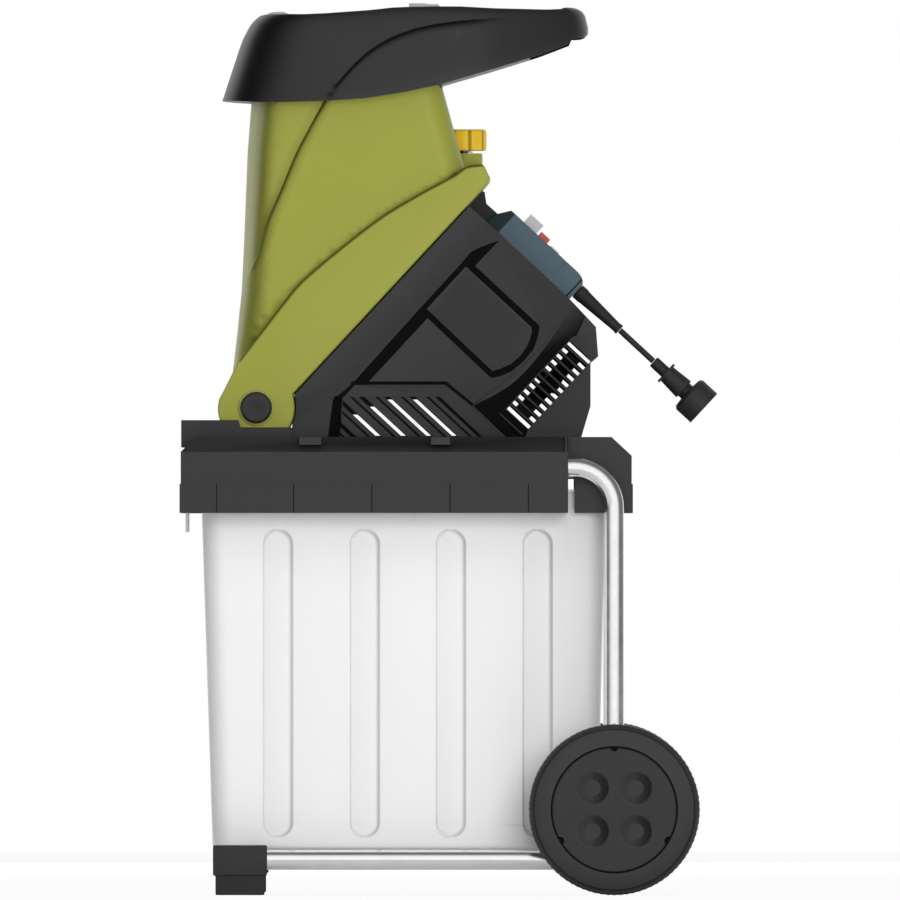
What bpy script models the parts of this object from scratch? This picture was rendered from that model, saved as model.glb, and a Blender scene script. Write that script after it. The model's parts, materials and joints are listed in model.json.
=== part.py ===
"""An electric garden chipper on wheels: hopper, cutter, motor, frame and collection box.

The machine is drawn with its feed hopper to the left (-X), its wheels to the right (+X), and the floor
at z = 0. Y runs across it, with the left-hand side at -Y. The origin is on the floor, midway between the
front of the base and the back of the wheels. All sizes are in metres.
"""

import math

import bmesh
import bpy
from mathutils import Matrix, Vector

# Overall
WHEEL_RADIUS = 0.0855
WHEEL_X = 0.1744
WHEEL_WIDTH = 0.036
WHEEL_RIM = 0.0215
GAP = 0.0003            # between pieces that touch
RUNNING_GAP = 0.0015    # between pieces that turn past each other

# Frame of bent steel tube
TUBE_RADIUS = 0.010
TUBE_BORE = 0.0085
TUBE_Y = 0.180
TUBE_BEND = 0.040
TUBE_LOW_Z = 0.0353
TUBE_HIGH_Z = 0.4275
TUBE_IN_BASE = 0.075
CROSSBAR_X = -0.2075
REAR_CROSSBAR_X = 0.110
AXLE_RADIUS = 0.006
WHEEL_TO_TUBE = 0.004
FOOT_LENGTH = 0.054
FOOT_WIDTH = 0.032
FOOT_TOP_Z = 0.0498
FOOT_PAD_TOP_Z = 0.0195
FOOT_PAD_INSET = 0.0025

# Base, the black tray between the frame and the motor housing
BASE_BOTTOM_Z = 0.3818
BASE_TOP_Z = 0.4578
BASE_STEP_Z = 0.4108
BASE_STEP = 0.0012
BASE_HALF_WIDTH = 0.195
BASE_REAR_HALF_WIDTH = 0.167
BASE_CHAMFER = 0.015
BASE_WALL = 0.004
SKIRT_BACK_X = 0.1284
BASE_BACK_X = 0.1932
BAY_HALF_WIDTH = 0.1635
SIGHT_NOTCH = (0.0065, 0.0345)
CHEEK_Z = 0.4748
CHEEK_LOW_Z = 0.4676
CHEEK_THICKNESS = 0.004
CHUTE_X = (-0.1435, -0.109)
CHUTE_HALF_WIDTH = 0.093

# Hinge of the hopper
HINGE_X = -0.1836
HINGE_Z = 0.4872
EAR_RADIUS = 0.0385
HINGE_HEAD_RADIUS = 0.016
HINGE_PIN_RADIUS = 0.006
HINGE_BOSS_RADIUS = 0.0176
HINGE_LUG_RADIUS = 0.0165
HINGE_LUG_Y = (0.085, 0.0975)

# Parting plane between the hopper and the cutter housing. LIP is its lower end.
LIP_X = -0.1467
LIP_Z = 0.5009
SLANT_DEGREES = 47.17
BAND_HALF_WIDTH = 0.120
THROAT_PLATE = 0.004
WINDOW_U = (0.070, 0.212)
WINDOW_HALF_WIDTH = 0.070

# Hopper
HOPPER_WALL = 0.0035
HOPPER_HALF_WIDTH = 0.111
HOPPER_PANEL = 0.0025
HOPPER_CORNER = 0.024

# Hood and guard
HOOD_HALF_WIDTH = 0.138
HOOD_REAR_HALF_WIDTH = 0.085
HOOD_WALL = 0.003
GUARD_Z = (0.862, 0.865)
GUARD_BRIDGE_X = (-0.0377, -0.0077)
GUARD_BRIDGE_TOP_Z = 0.8925
GUARD_REST_X = (-0.1677, -0.1547)
GUARD_REST_TOP_Z = 0.8828
GRIP_X = (0.094, 0.119)
GRIP_HALF_WIDTH = 0.048

# Knob
KNOB_X = 0.0244
KNOB_RADIUS = 0.0228
KNOB_LOBES = 8
KNOB_Z = (0.7453, 0.7668)
BOSS_RADIUS = 0.0186
BOSS_TOP_Z = 0.7428
BAND_ROOF_Z = 0.7290
KNOB_BOLT_RADIUS = 0.004
KNOB_LIFT = 0.010
BOLT_TIP_Z = 0.6902
NUT_DEPTH = 0.011
NUT_RADIUS = 0.008
NUT_BOSS_RADIUS = 0.0115
LUG_HALF_WIDTH = 0.018

# Cutter and gearbox, placed by u along the parting plane and n away from it
HOUSING_HALF_WIDTH = 0.118
HOUSING_WALL = 0.005
CHAMBER_DEPTH = 0.036
CHAMBER_RADIUS = 0.0965
BULKHEAD = 0.0085
PARTING_GAP = 0.0015
MOTOR_HEADROOM = 0.0225
LUG_RISE = 0.0211
BLADE_U = 0.1406
DISC_RADIUS = 0.092
DISC_N = 0.009
DISC_THICKNESS = 0.006
BLADE_SIZE = (0.062, 0.030, 0.0037)
SPINDLE_RADIUS = 0.0075
MODULE = 0.00125
GEAR_TEETH = 53
PINION_TEETH = 14
GEAR_N = (0.045, 0.055)
BEARING_WIDTH = 0.009
SPINDLE_BEARING = (0.0078, 0.016)
MOTOR_BEARING = (0.0053, 0.013)

# Motor
MOTOR_SHAFT_RADIUS = 0.005
MOTOR_CAN = (0.045, 0.048)
MOTOR_CAN_END_N = 0.155
CAN_END_WALL = 0.012
STATOR_N = (0.084, 0.126)
ROTOR_RADIUS = 0.024
COMMUTATOR_N = (0.129, 0.1415)
COMMUTATOR_RADIUS = 0.012
FAN_N = (0.173, 0.189)
FAN_RADIUS = 0.0375
FAN_BLADES = 7

# Motor covers
COVER_HALF_WIDTH = 0.114
COVER_WALL = 0.004
VENT_U = (0.1355, 0.2277)
VENT_N = (0.1675, 0.1959)
VENT_BARS = 9
VENT_BAR_WIDTH = 0.0045
LOUVRE_SLOTS = 4
LOUVRE_PITCH = 0.0255
LOUVRE_FIRST_X = -0.0623
LOUVRE_SLOT_WIDTH = 0.0035
GROOVE_WIDTH = 0.005
GROOVE_DEPTH = 0.003

# Switch box, cord and plug
BOX_HEIGHT = 0.0255
BOX_N = (0.026, 0.1105)
BOX_END_N = 0.138
BOX_HALF_WIDTH = 0.045
BOX_WALL = 0.0025
CORD_RISE = 0.012
RELIEF_N = (0.1385, 0.196)
CORD_DIAMETER = 0.006
PLUG_N = 0.2425
START_BUTTON_N = (0.052, 0.069)
STOP_BUTTON_N = (0.0715, 0.0835)
RESET_BUTTON_N = (0.088, 0.099)
BUTTON_HALF_WIDTH = 0.011

# Collection box
BIN_TOP_Z = 0.4055
BIN_X_TOP = (-0.2386, 0.1600)
BIN_X_BOTTOM = (-0.2270, 0.1480)
BIN_HALF_WIDTH_TOP = 0.157
BIN_HALF_WIDTH_BOTTOM = 0.149
BIN_WALL = 0.003
BIN_RIM = 0.0045
BIN_CORNER = 0.022
FLUTE_X = (-0.1615, -0.0747, 0.0113, 0.0980)
FLUTE_WIDTH = 0.029
FLUTE_DEPTH = 0.004
FLUTE_Z = (0.057, 0.366)

SLANT = math.radians(SLANT_DEGREES)
MOTOR_U = BLADE_U + MODULE * (GEAR_TEETH + PINION_TEETH) / 2
HOUSING_TOP_U = MOTOR_U + MOTOR_CAN[1] + HOUSING_WALL + MOTOR_HEADROOM
BOX_LOW_U = HOUSING_TOP_U + GAP
BOX_TOP_U = BOX_LOW_U + BOX_HEIGHT
CORD_U = HOUSING_TOP_U + CORD_RISE
BASE_FRONT_X = -(WHEEL_X + WHEEL_RADIUS)
BIN_BOTTOM_Z = TUBE_LOW_Z + TUBE_RADIUS * math.cos(math.radians(15)) + GAP
WHEEL_INNER_Y = TUBE_Y + TUBE_RADIUS + WHEEL_TO_TUBE

PAINTS = {
    "green_plastic": ((0.34, 0.37, 0.07), 0.45, 0.0),
    "black_plastic": ((0.045, 0.045, 0.045), 0.5, 0.0),
    "blue_plastic": ((0.06, 0.11, 0.14), 0.45, 0.0),
    "yellow_plastic": ((0.80, 0.52, 0.04), 0.4, 0.0),
    "grey_plastic": ((0.55, 0.55, 0.55), 0.4, 0.0),
    "red_plastic": ((0.55, 0.03, 0.02), 0.35, 0.0),
    "clear_plastic": ((0.86, 0.87, 0.88), 0.35, 0.0),
    "tube_steel": ((0.75, 0.75, 0.76), 0.25, 1.0),
    "blade_steel": ((0.55, 0.55, 0.56), 0.3, 1.0),
    "cast_aluminium": ((0.6, 0.6, 0.61), 0.5, 1.0),
    "copper": ((0.72, 0.36, 0.18), 0.35, 1.0),
    "brass": ((0.75, 0.58, 0.25), 0.3, 1.0),
    "rubber": ((0.03, 0.03, 0.03), 0.8, 0.0),
}


def clear_scene():
    """Removes whatever the scene starts with."""
    for thing in list(bpy.data.objects):
        bpy.data.objects.remove(thing)


def paint(name):
    """Returns the material of that name, made on first use."""
    found = bpy.data.materials.get(name)
    if found:
        return found
    colour, roughness, metallic = PAINTS[name]
    made = bpy.data.materials.new(name)
    made.use_nodes = True
    shader = made.node_tree.nodes["Principled BSDF"]
    shader.inputs["Base Color"].default_value = (*colour, 1.0)
    shader.inputs["Roughness"].default_value = roughness
    shader.inputs["Metallic"].default_value = metallic
    made.diffuse_color = (*colour, 1.0)
    return made


def solid(name, points, faces, smooth_degrees=30):
    """Makes one closed mesh object from points and faces, with its faces turned outwards."""
    mesh = bpy.data.meshes.new(name)
    mesh.from_pydata([tuple(p) for p in points], [], faces)
    shape = bmesh.new()
    shape.from_mesh(mesh)
    bmesh.ops.recalc_face_normals(shape, faces=shape.faces)
    shape.to_mesh(mesh)
    shape.free()
    mesh.shade_smooth()
    mesh.set_sharp_from_angle(angle=math.radians(smooth_degrees))
    made = bpy.data.objects.new(name, mesh)
    bpy.context.scene.collection.objects.link(made)
    return made


def loft(name, rings):
    """Joins rings that have the same number of points, and caps both ends."""
    count = len(rings[0])
    points = [p for ring in rings for p in ring]
    faces = []
    for r in range(len(rings) - 1):
        for i in range(count):
            j = (i + 1) % count
            a, b = r * count, (r + 1) * count
            faces.append((a + i, a + j, b + j, b + i))
    faces.append(tuple(range(count)))
    faces.append(tuple(range((len(rings) - 1) * count, len(rings) * count)))
    return solid(name, points, faces)


def prism(name, outline, y0, y1):
    """Draws an outline of (x, z) points out along Y."""
    return loft(name, [[(x, y, z) for x, z in outline] for y in (y0, y1)])


def plate(name, outline, matrix, low, high):
    """Draws an outline of (x, y) points out along its own z, then places it by matrix."""
    return loft(name, [[matrix @ Vector((x, y, h)) for x, y in outline] for h in (low, high)])


def box(name, low, high):
    """Makes a block from its lowest and highest corner."""
    (x0, y0, z0), (x1, y1, z1) = low, high
    return prism(name, [(x0, z0), (x1, z0), (x1, z1), (x0, z1)], y0, y1)


def spun(name, profile, steps, matrix):
    """Turns a profile of (radius, height) points about its own z axis, then places it by matrix.

    A profile that starts and ends on the axis is a solid. Any other is closed on itself, as for a ring.
    """
    points, rows = [], []
    for radius, height in profile:
        if radius == 0:
            rows.append([len(points)] * steps)
            points.append(matrix @ Vector((0, 0, height)))
            continue
        rows.append([len(points) + i for i in range(steps)])
        for i in range(steps):
            turn = 2 * math.pi * i / steps
            points.append(matrix @ Vector((radius * math.cos(turn), radius * math.sin(turn), height)))
    pairs = list(zip(rows, rows[1:]))
    if profile[0][0] > 0:
        pairs.append((rows[-1], rows[0]))
    faces = []
    for one, two in pairs:
        for i in range(steps):
            j = (i + 1) % steps
            corners = list(dict.fromkeys((one[i], one[j], two[j], two[i])))
            if len(corners) > 2:
                faces.append(tuple(corners))
    return solid(name, points, faces)


def rod(name, radius, low, high, steps, matrix):
    """A plain round bar along its own z."""
    return spun(name, [(0, low), (radius, low), (radius, high), (0, high)], steps, matrix)


def ring(name, bore, radius, low, high, steps, matrix):
    """A plain round ring about its own z."""
    return spun(name, [(bore, low), (radius, low), (radius, high), (bore, high)], steps, matrix)


def hex_nut(name, bore, radius, low, high, matrix):
    """A six-sided nut with a round bore."""
    nut = rod(name, radius, low, high, 6, matrix)
    return cut(nut, rod("bore", bore, low - 0.001, high + 0.001, 12, matrix))


def pipe(name, path, radius, bore, sides):
    """A round tube along a path of points. It is hollow and open at both ends where bore is over 0."""
    path = [Vector(p) for p in path]
    side = None
    outer, inner = [], []
    for i, here in enumerate(path):
        before, after = path[max(i - 1, 0)], path[min(i + 1, len(path) - 1)]
        along = ((here - before).normalized() + (after - here).normalized()).normalized()
        if side is None:
            side = along.orthogonal().normalized()
        side = (side - side.dot(along) * along).normalized()
        up = along.cross(side)
        turns = [2 * math.pi * k / sides for k in range(sides)]
        outer.append([here + radius * (math.cos(t) * side + math.sin(t) * up) for t in turns])
        inner.append([here + bore * (math.cos(t) * side + math.sin(t) * up) for t in turns])
    if not bore:
        return loft(name, outer)
    rings = outer + inner[::-1]
    points = [p for r in rings for p in r]
    faces = []
    for r in range(len(rings)):
        s = (r + 1) % len(rings)
        for i in range(sides):
            j = (i + 1) % sides
            faces.append((r * sides + i, r * sides + j, s * sides + j, s * sides + i))
    return solid(name, points, faces)


def combine(body, tool, operation):
    """Joins tool to body or cuts it away, keeps the result in body, and discards tool."""
    step = body.modifiers.new(operation.title(), "BOOLEAN")
    step.operation = operation
    step.object = tool
    step.solver = "EXACT"
    bpy.context.view_layer.update()
    graph = bpy.context.evaluated_depsgraph_get()
    made = bpy.data.meshes.new_from_object(body.evaluated_get(graph))
    body.modifiers.clear()
    old, body.data = body.data, made
    made.name = body.name
    bpy.data.meshes.remove(old)
    bpy.data.objects.remove(tool)
    return body


def cut(body, *tools):
    """Cuts every tool away from body."""
    for tool in tools:
        combine(body, tool, "DIFFERENCE")
    return body


def join(body, *tools):
    """Makes body and every tool one solid."""
    for tool in tools:
        combine(body, tool, "UNION")
    return body


def keep(body, tool):
    """Keeps only what body shares with tool."""
    return combine(body, tool, "INTERSECT")


def finish(body, material, carrier=None):
    """Gives a piece its material and hangs it on the empty that carries it, without moving it."""
    body.data.materials.clear()
    body.data.materials.append(paint(material))
    if carrier is not None:
        bpy.context.view_layer.update()
        body.data.transform(carrier.matrix_world.inverted())
        body.parent = carrier
    return body


def empty(name, matrix):
    """An empty that stands on a joint's axis."""
    made = bpy.data.objects.new(name, None)
    made.empty_display_size = 0.03
    bpy.context.scene.collection.objects.link(made)
    made.matrix_world = matrix
    return made


def slant(u, n):
    """The (x, z) of a point u along the parting plane from its lower end, and n away from the hopper."""
    return (
        LIP_X + u * math.cos(SLANT) + n * math.sin(SLANT),
        LIP_Z + u * math.sin(SLANT) - n * math.cos(SLANT),
    )


def cutter_axis(u, y=0.0):
    """Matrix of an axis square to the parting plane: x runs up the plane, z away from the hopper."""
    x, z = slant(u, 0)
    up = Vector((math.cos(SLANT), 0, math.sin(SLANT)))
    away = Vector((math.sin(SLANT), 0, -math.cos(SLANT)))
    across = away.cross(up)
    matrix = Matrix((up, across, away)).transposed().to_4x4()
    matrix.translation = Vector((x, y, z))
    return matrix


def across_axis(x, z):
    """Matrix of an axis that runs across the machine, with its z along +Y."""
    return Matrix.Translation((x, 0, z)) @ Matrix.Rotation(-math.pi / 2, 4, "X")


def upright_axis(x, y, z):
    """Matrix of a vertical axis."""
    return Matrix.Translation((x, y, z))


def arc(cx, cz, radius, start, stop, steps):
    """Points of an arc, from start to stop in degrees, anticlockwise as seen from the left-hand side."""
    turns = [math.radians(start + (stop - start) * i / steps) for i in range(steps + 1)]
    return [(cx + radius * math.cos(t), cz + radius * math.sin(t)) for t in turns]


def strip(points, width):
    """Outline of a groove of one width along a line of (x, z) points."""
    line = [Vector(p) for p in points]
    left, right = [], []
    for i, here in enumerate(line):
        into = (here - line[max(i - 1, 0)]).normalized()
        out = (line[min(i + 1, len(line) - 1)] - here).normalized()
        along = (into + out).normalized()
        square = Vector((-along.y, along.x))
        reach = width / 2 / max(0.5, along.dot(out if out.length else into))
        left.append(tuple(here + square * reach))
        right.append(tuple(here - square * reach))
    return left + right[::-1]


def offset_loop(points, distance):
    """A closed line of (x, z) points moved sideways by a distance."""
    line = [Vector(p) for p in points]
    moved = []
    for i, here in enumerate(line):
        into = (here - line[i - 1]).normalized()
        out = (line[(i + 1) % len(line)] - here).normalized()
        along = (into + out).normalized()
        moved.append(tuple(here + Vector((-along.y, along.x)) * distance / max(0.5, along.dot(out))))
    return moved


def rounded_ring(x0, x1, half_width, corner, z, steps=4):
    """A ring of points round a rectangle with round corners, level at z."""
    centres = (
        (x1 - corner, half_width - corner, 0),
        (x0 + corner, half_width - corner, 90),
        (x0 + corner, corner - half_width, 180),
        (x1 - corner, corner - half_width, 270),
    )
    points = []
    for cx, cy, start in centres:
        for px, py in arc(cx, cy, corner, start, start + 90, steps):
            points.append((px, py, z))
    return points


def between(table, x):
    """Reads a table of (x, value) rows in rising x, in straight steps."""
    if x <= table[0][0]:
        return table[0][1]
    for (x0, v0), (x1, v1) in zip(table, table[1:]):
        if x <= x1:
            return v0 + (v1 - v0) * (x - x0) / (x1 - x0)
    return table[-1][1]


def mirrored(build, names):
    """Builds a piece for each side of the machine. build takes a name and a side of -1 or 1."""
    return [build(name, side) for name, side in zip(names, (-1, 1))]


# Frame, wheels and feet


def frame_path():
    """The line of a side tube in (x, z): from inside the base, back, down and forward to its foot."""
    back = WHEEL_X
    path = [(SKIRT_BACK_X - TUBE_IN_BASE, TUBE_HIGH_Z)]
    path += arc(back - TUBE_BEND, TUBE_HIGH_Z - TUBE_BEND, TUBE_BEND, 90, 0, 5)
    path += arc(back - TUBE_BEND, TUBE_LOW_Z + TUBE_BEND, TUBE_BEND, 0, -90, 5)
    path.append((CROSSBAR_X + TUBE_RADIUS + FOOT_PAD_INSET, TUBE_LOW_Z))
    return path


def frame_tube(name, side):
    """One bent side tube, drilled for the axle."""
    path = [(x, side * TUBE_Y, z) for x, z in frame_path()]
    tube = pipe(name, path, TUBE_RADIUS, TUBE_BORE, 12)
    hole = rod(
        "hole", AXLE_RADIUS + GAP, -BASE_HALF_WIDTH, BASE_HALF_WIDTH, 16,
        across_axis(WHEEL_X, WHEEL_RADIUS),
    )
    return finish(cut(tube, hole), "tube_steel")


def foot(name, side):
    """A plastic foot that holds the front ends of the side tube and the crossbar."""
    middle = side * TUBE_Y
    x0 = CROSSBAR_X - TUBE_RADIUS - 0.009
    x1 = x0 + FOOT_LENGTH
    y0, y1 = middle - FOOT_WIDTH / 2, middle + FOOT_WIDTH / 2
    body = box(name, (x0, y0, FOOT_PAD_TOP_Z), (x1, y1, FOOT_TOP_Z))
    pad_low = (x0 + FOOT_PAD_INSET, y0 + FOOT_PAD_INSET, 0)
    pad_high = (x1 - FOOT_PAD_INSET, y1 - FOOT_PAD_INSET, FOOT_PAD_TOP_Z + GAP)
    join(body, box("pad", pad_low, pad_high))
    bevel = body.modifiers.new("Bevel", "BEVEL")
    bevel.width = 0.0025
    bevel.segments = 2
    bevel.limit_method = "ANGLE"
    bevel.angle_limit = math.radians(60)
    bpy.context.view_layer.update()
    graph = bpy.context.evaluated_depsgraph_get()
    body.data = bpy.data.meshes.new_from_object(body.evaluated_get(graph))
    body.modifiers.clear()
    along = Matrix.Translation((0, middle, TUBE_LOW_Z)) @ Matrix.Rotation(math.pi / 2, 4, "Y")
    start = CROSSBAR_X + TUBE_RADIUS + FOOT_PAD_INSET - GAP
    cut(body, rod("tube_hole", TUBE_RADIUS + GAP, start, x1 + 0.01, 24, along))
    reach = sorted((side * (TUBE_Y + TUBE_RADIUS), side * (TUBE_Y - FOOT_WIDTH)))
    cut(
        body,
        rod("bar_hole", TUBE_RADIUS + GAP, reach[0], reach[1], 24, across_axis(CROSSBAR_X, TUBE_LOW_Z)),
    )
    return finish(body, "rubber")


def crossbar(name, x, half_length):
    """A straight tube across the machine."""
    path = [(x, -half_length, TUBE_LOW_Z), (x, half_length, TUBE_LOW_Z)]
    return finish(pipe(name, path, TUBE_RADIUS, TUBE_BORE, 12), "tube_steel")


def wheel(name, side, carrier):
    """A moulded wheel with a treaded rim, a web and a hub, open to the outside for its cap."""
    w = WHEEL_WIDTH
    rim = WHEEL_RIM
    profile = [
        (AXLE_RADIUS + GAP, 0.002), (0.013, 0.002), (0.013, 0.010), (WHEEL_RADIUS - rim, 0.010),
        (WHEEL_RADIUS - rim, 0.0), (WHEEL_RADIUS - 0.004, 0.0), (WHEEL_RADIUS, 0.004),
        (WHEEL_RADIUS, w - 0.006), (WHEEL_RADIUS - 0.004, w - 0.001), (WHEEL_RADIUS - rim, w),
        (WHEEL_RADIUS - rim, 0.014), (0.013, 0.014), (0.013, w - 0.010), (AXLE_RADIUS + GAP, w - 0.010),
    ]
    start = across_axis(WHEEL_X, WHEEL_RADIUS) @ Matrix.Rotation(0 if side > 0 else math.pi, 4, "X")
    body = spun(name, profile, 40, start @ Matrix.Translation((0, 0, WHEEL_INNER_Y)))
    return finish(body, "black_plastic", carrier)


def hub_cap(name, side, carrier):
    """The disc that closes a wheel: three notches in its edge and four round dimples."""
    radius = WHEEL_RADIUS - WHEEL_RIM - GAP
    thickness = 0.0035
    outer = WHEEL_INNER_Y + WHEEL_WIDTH - 0.0005
    start = across_axis(WHEEL_X, WHEEL_RADIUS) @ Matrix.Rotation(0 if side > 0 else math.pi, 4, "X")
    profile = [(0, outer - thickness), (radius, outer - thickness), (radius, outer), (0, outer)]
    body = spun(name, profile, 40, start)
    for degrees in (90, 210, 330):
        turn = math.radians(degrees)
        x, z = WHEEL_X + radius * math.cos(turn), WHEEL_RADIUS + radius * math.sin(turn)
        notch = across_axis(x, z) @ Matrix.Rotation(0 if side > 0 else math.pi, 4, "X")
        cut(body, rod("notch", 0.003, outer - 0.01, outer + 0.01, 10, notch))
    dimple, depth, spread = 0.016, 0.0026, 0.0213
    bowl = [
        (0, outer - depth), (0.45 * dimple, outer - 0.8 * depth),
        (0.8 * dimple, outer - 0.36 * depth),
    ]
    bowl += [(1.03 * dimple, outer + 0.06 * depth), (0, outer + 0.06 * depth)]
    for dx in (-spread, spread):
        for dz in (-spread, spread):
            spot = across_axis(WHEEL_X + dx, WHEEL_RADIUS + dz) @ Matrix.Rotation(
                0 if side > 0 else math.pi, 4, "X",
            )
            cut(body, spun("bowl", bowl, 20, spot))
    return finish(body, "black_plastic", carrier)


def axle():
    """The wheels' axle, with both ends headed over so that the wheels stay on."""
    stop = WHEEL_INNER_Y + WHEEL_WIDTH - 0.010 + GAP
    head = 0.0095
    profile = [
        (0, -stop - 0.0014), (head, -stop - 0.0014), (head, -stop), (AXLE_RADIUS, -stop),
        (AXLE_RADIUS, stop),
    ]
    profile += [(head, stop), (head, stop + 0.0014), (0, stop + 0.0014)]
    return finish(spun("axle", profile, 16, across_axis(WHEEL_X, WHEEL_RADIUS)), "tube_steel")


def build_frame():
    """Side tubes, crossbars, feet, axle and wheels."""
    mirrored(frame_tube, ("frame_tube_left", "frame_tube_right"))
    mirrored(foot, ("foot_left", "foot_right"))
    crossbar("front_crossbar", CROSSBAR_X, TUBE_Y + TUBE_RADIUS - GAP)
    crossbar("rear_crossbar", REAR_CROSSBAR_X, TUBE_Y - TUBE_RADIUS - GAP)
    axle()
    for word, side in (("left", -1), ("right", 1)):
        carrier = empty(f"wheel_axis_{word}", across_axis(WHEEL_X, WHEEL_RADIUS))
        wheel(f"wheel_{word}", side, carrier)
        hub_cap(f"hub_cap_{word}", side, carrier)


# Base


def base_outer(name, spread, low, high):
    """The outside of the base between two heights, spread wider by an amount."""
    top = min(high, BASE_TOP_Z)
    chamfer = BASE_CHAMFER if high >= BASE_TOP_Z else 0.0
    front, w = BASE_FRONT_X + BASE_STEP - spread, BASE_HALF_WIDTH - BASE_STEP + spread
    rear_w, back = BASE_REAR_HALF_WIDTH - BASE_STEP + spread, BASE_BACK_X - BASE_STEP + spread
    side = [
        (front, low), (SKIRT_BACK_X, low), (SKIRT_BACK_X, top), (front + chamfer, top),
        (front, top - chamfer),
    ]
    if not chamfer:
        side.pop()
    wide = prism(name, side, -w, w)
    if chamfer:
        across = [
            (-w, low), (w, low), (w, top - chamfer), (w - chamfer, top), (chamfer - w, top),
            (-w, top - chamfer),
        ]
        ends = (BASE_FRONT_X - 0.01, SKIRT_BACK_X + 0.01)
        keep(wide, loft("across", [[(x, y, z) for y, z in across] for x in ends]))
    start = SKIRT_BACK_X - 0.01
    rear = [
        (start, low), (back, low), (back, top - 1.25 * chamfer), (back - 1.35 * chamfer, top),
        (start, top),
    ]
    if not chamfer:
        rear.pop(3)
    join(wide, prism("rear", rear, -rear_w, rear_w))
    return wide


def build_base():
    """The black tray that carries the motor housing and covers the collection box."""
    body = base_outer("base_deck", 0.0, BASE_STEP_Z - 0.002, BASE_TOP_Z)
    join(body, base_outer("lower_skirt", BASE_STEP, BASE_BOTTOM_Z, BASE_STEP_Z))
    front = BASE_FRONT_X + BASE_STEP
    block_back = HINGE_X - EAR_RADIUS - RUNNING_GAP
    cheek = BAND_HALF_WIDTH + RUNNING_GAP + CHEEK_THICKNESS
    join(body, box("block", (front, -cheek, BASE_TOP_Z - 0.01), (block_back, cheek, CHEEK_Z)))
    step_x = HINGE_X - HINGE_BOSS_RADIUS
    cheek_back = LIP_X - 0.0015
    outline = [
        (block_back - 0.005, BASE_TOP_Z - 0.01), (cheek_back, BASE_TOP_Z - 0.01),
        (cheek_back, CHEEK_LOW_Z),
        (step_x + 0.002, CHEEK_LOW_Z), (step_x, CHEEK_Z), (block_back - 0.005, CHEEK_Z),
    ]
    lug = [
        (HINGE_X - HINGE_LUG_RADIUS, BASE_TOP_Z - 0.01),
        (HINGE_X + HINGE_LUG_RADIUS, BASE_TOP_Z - 0.01),
    ]
    lug += arc(HINGE_X, HINGE_Z, HINGE_LUG_RADIUS, 0, 180, 10)
    for side in (-1, 1):
        ys = sorted((side * cheek, side * (cheek - CHEEK_THICKNESS)))
        join(body, prism("cheek", outline, *ys))
        join(body, prism("lug", lug, *sorted(side * y for y in HINGE_LUG_Y)))
    wall = BASE_WALL
    under = BASE_BOTTOM_Z - 0.01
    roof = BASE_TOP_Z - wall
    c = BASE_CHAMFER
    bay_back, slope_top = BASE_BACK_X - 2 * wall, BASE_BACK_X - BASE_STEP - 1.35 * c
    bay = [
        (front + wall, under), (bay_back, under),
        (bay_back, roof - 1.25 * c * (bay_back - slope_top) / (1.35 * c)),
    ]
    bay += [
        (slope_top - 0.4 * wall, roof), (front + c + 0.4 * wall, roof),
        (front + wall, BASE_TOP_Z - c - 0.4 * wall),
    ]
    cut(body, prism("bay", bay, -BAY_HALF_WIDTH, BAY_HALF_WIDTH))
    cut(
        body,
        box(
            "door", (front - 0.01, -BAY_HALF_WIDTH, under),
            (front + 0.01, BAY_HALF_WIDTH, BIN_TOP_Z + 0.0065),
        ),
    )
    inside = cheek - 2 * CHEEK_THICKNESS
    cut(
        body,
        box("hollow", (front + wall, -inside, roof - 0.01), (block_back - wall, inside, CHEEK_Z - wall)),
    )
    notch, rise = SIGHT_NOTCH
    for side in (-1, 1):
        ys = sorted((side * (BAY_HALF_WIDTH + wall), side * (BASE_HALF_WIDTH - wall)))
        cut(
            body,
            box(
                "channel", (front + wall, ys[0], under),
                (SKIRT_BACK_X - wall, ys[1], roof - BASE_CHAMFER),
            ),
        )
        ys = sorted((side * (BAY_HALF_WIDTH - 0.005), side * (BASE_HALF_WIDTH + 0.01)))
        cut(
            body,
            box(
                "notch", (SKIRT_BACK_X + 1e-5, ys[0], under),
                (SKIRT_BACK_X + notch, ys[1], BASE_BOTTOM_Z + rise),
            ),
        )
        tube = Matrix.Translation((0, side * TUBE_Y, TUBE_HIGH_Z)) @ Matrix.Rotation(math.pi / 2, 4, "Y")
        cut(body, rod("tube_hole", TUBE_RADIUS + GAP, SKIRT_BACK_X - 0.02, SKIRT_BACK_X + 0.02, 24, tube))
        ys = sorted((side * (HINGE_LUG_Y[1] + RUNNING_GAP), side * (BAND_HALF_WIDTH + RUNNING_GAP)))
        slot = (block_back, HINGE_X + EAR_RADIUS + RUNNING_GAP)
        cut(body, box("ear_slot", (slot[0], ys[0], roof - 0.02), (slot[1], ys[1], BASE_TOP_Z + 0.01)))
    hinge = across_axis(HINGE_X, HINGE_Z)
    cut(body, rod("hinge_hole", HINGE_PIN_RADIUS + GAP, -0.11, 0.11, 16, hinge))
    w = CHUTE_HALF_WIDTH
    cut(body, box("chute", (CHUTE_X[0], -w, roof - 0.01), (CHUTE_X[1], w, BASE_TOP_Z + 0.01)))
    return finish(body, "black_plastic")


# Collection box


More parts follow.
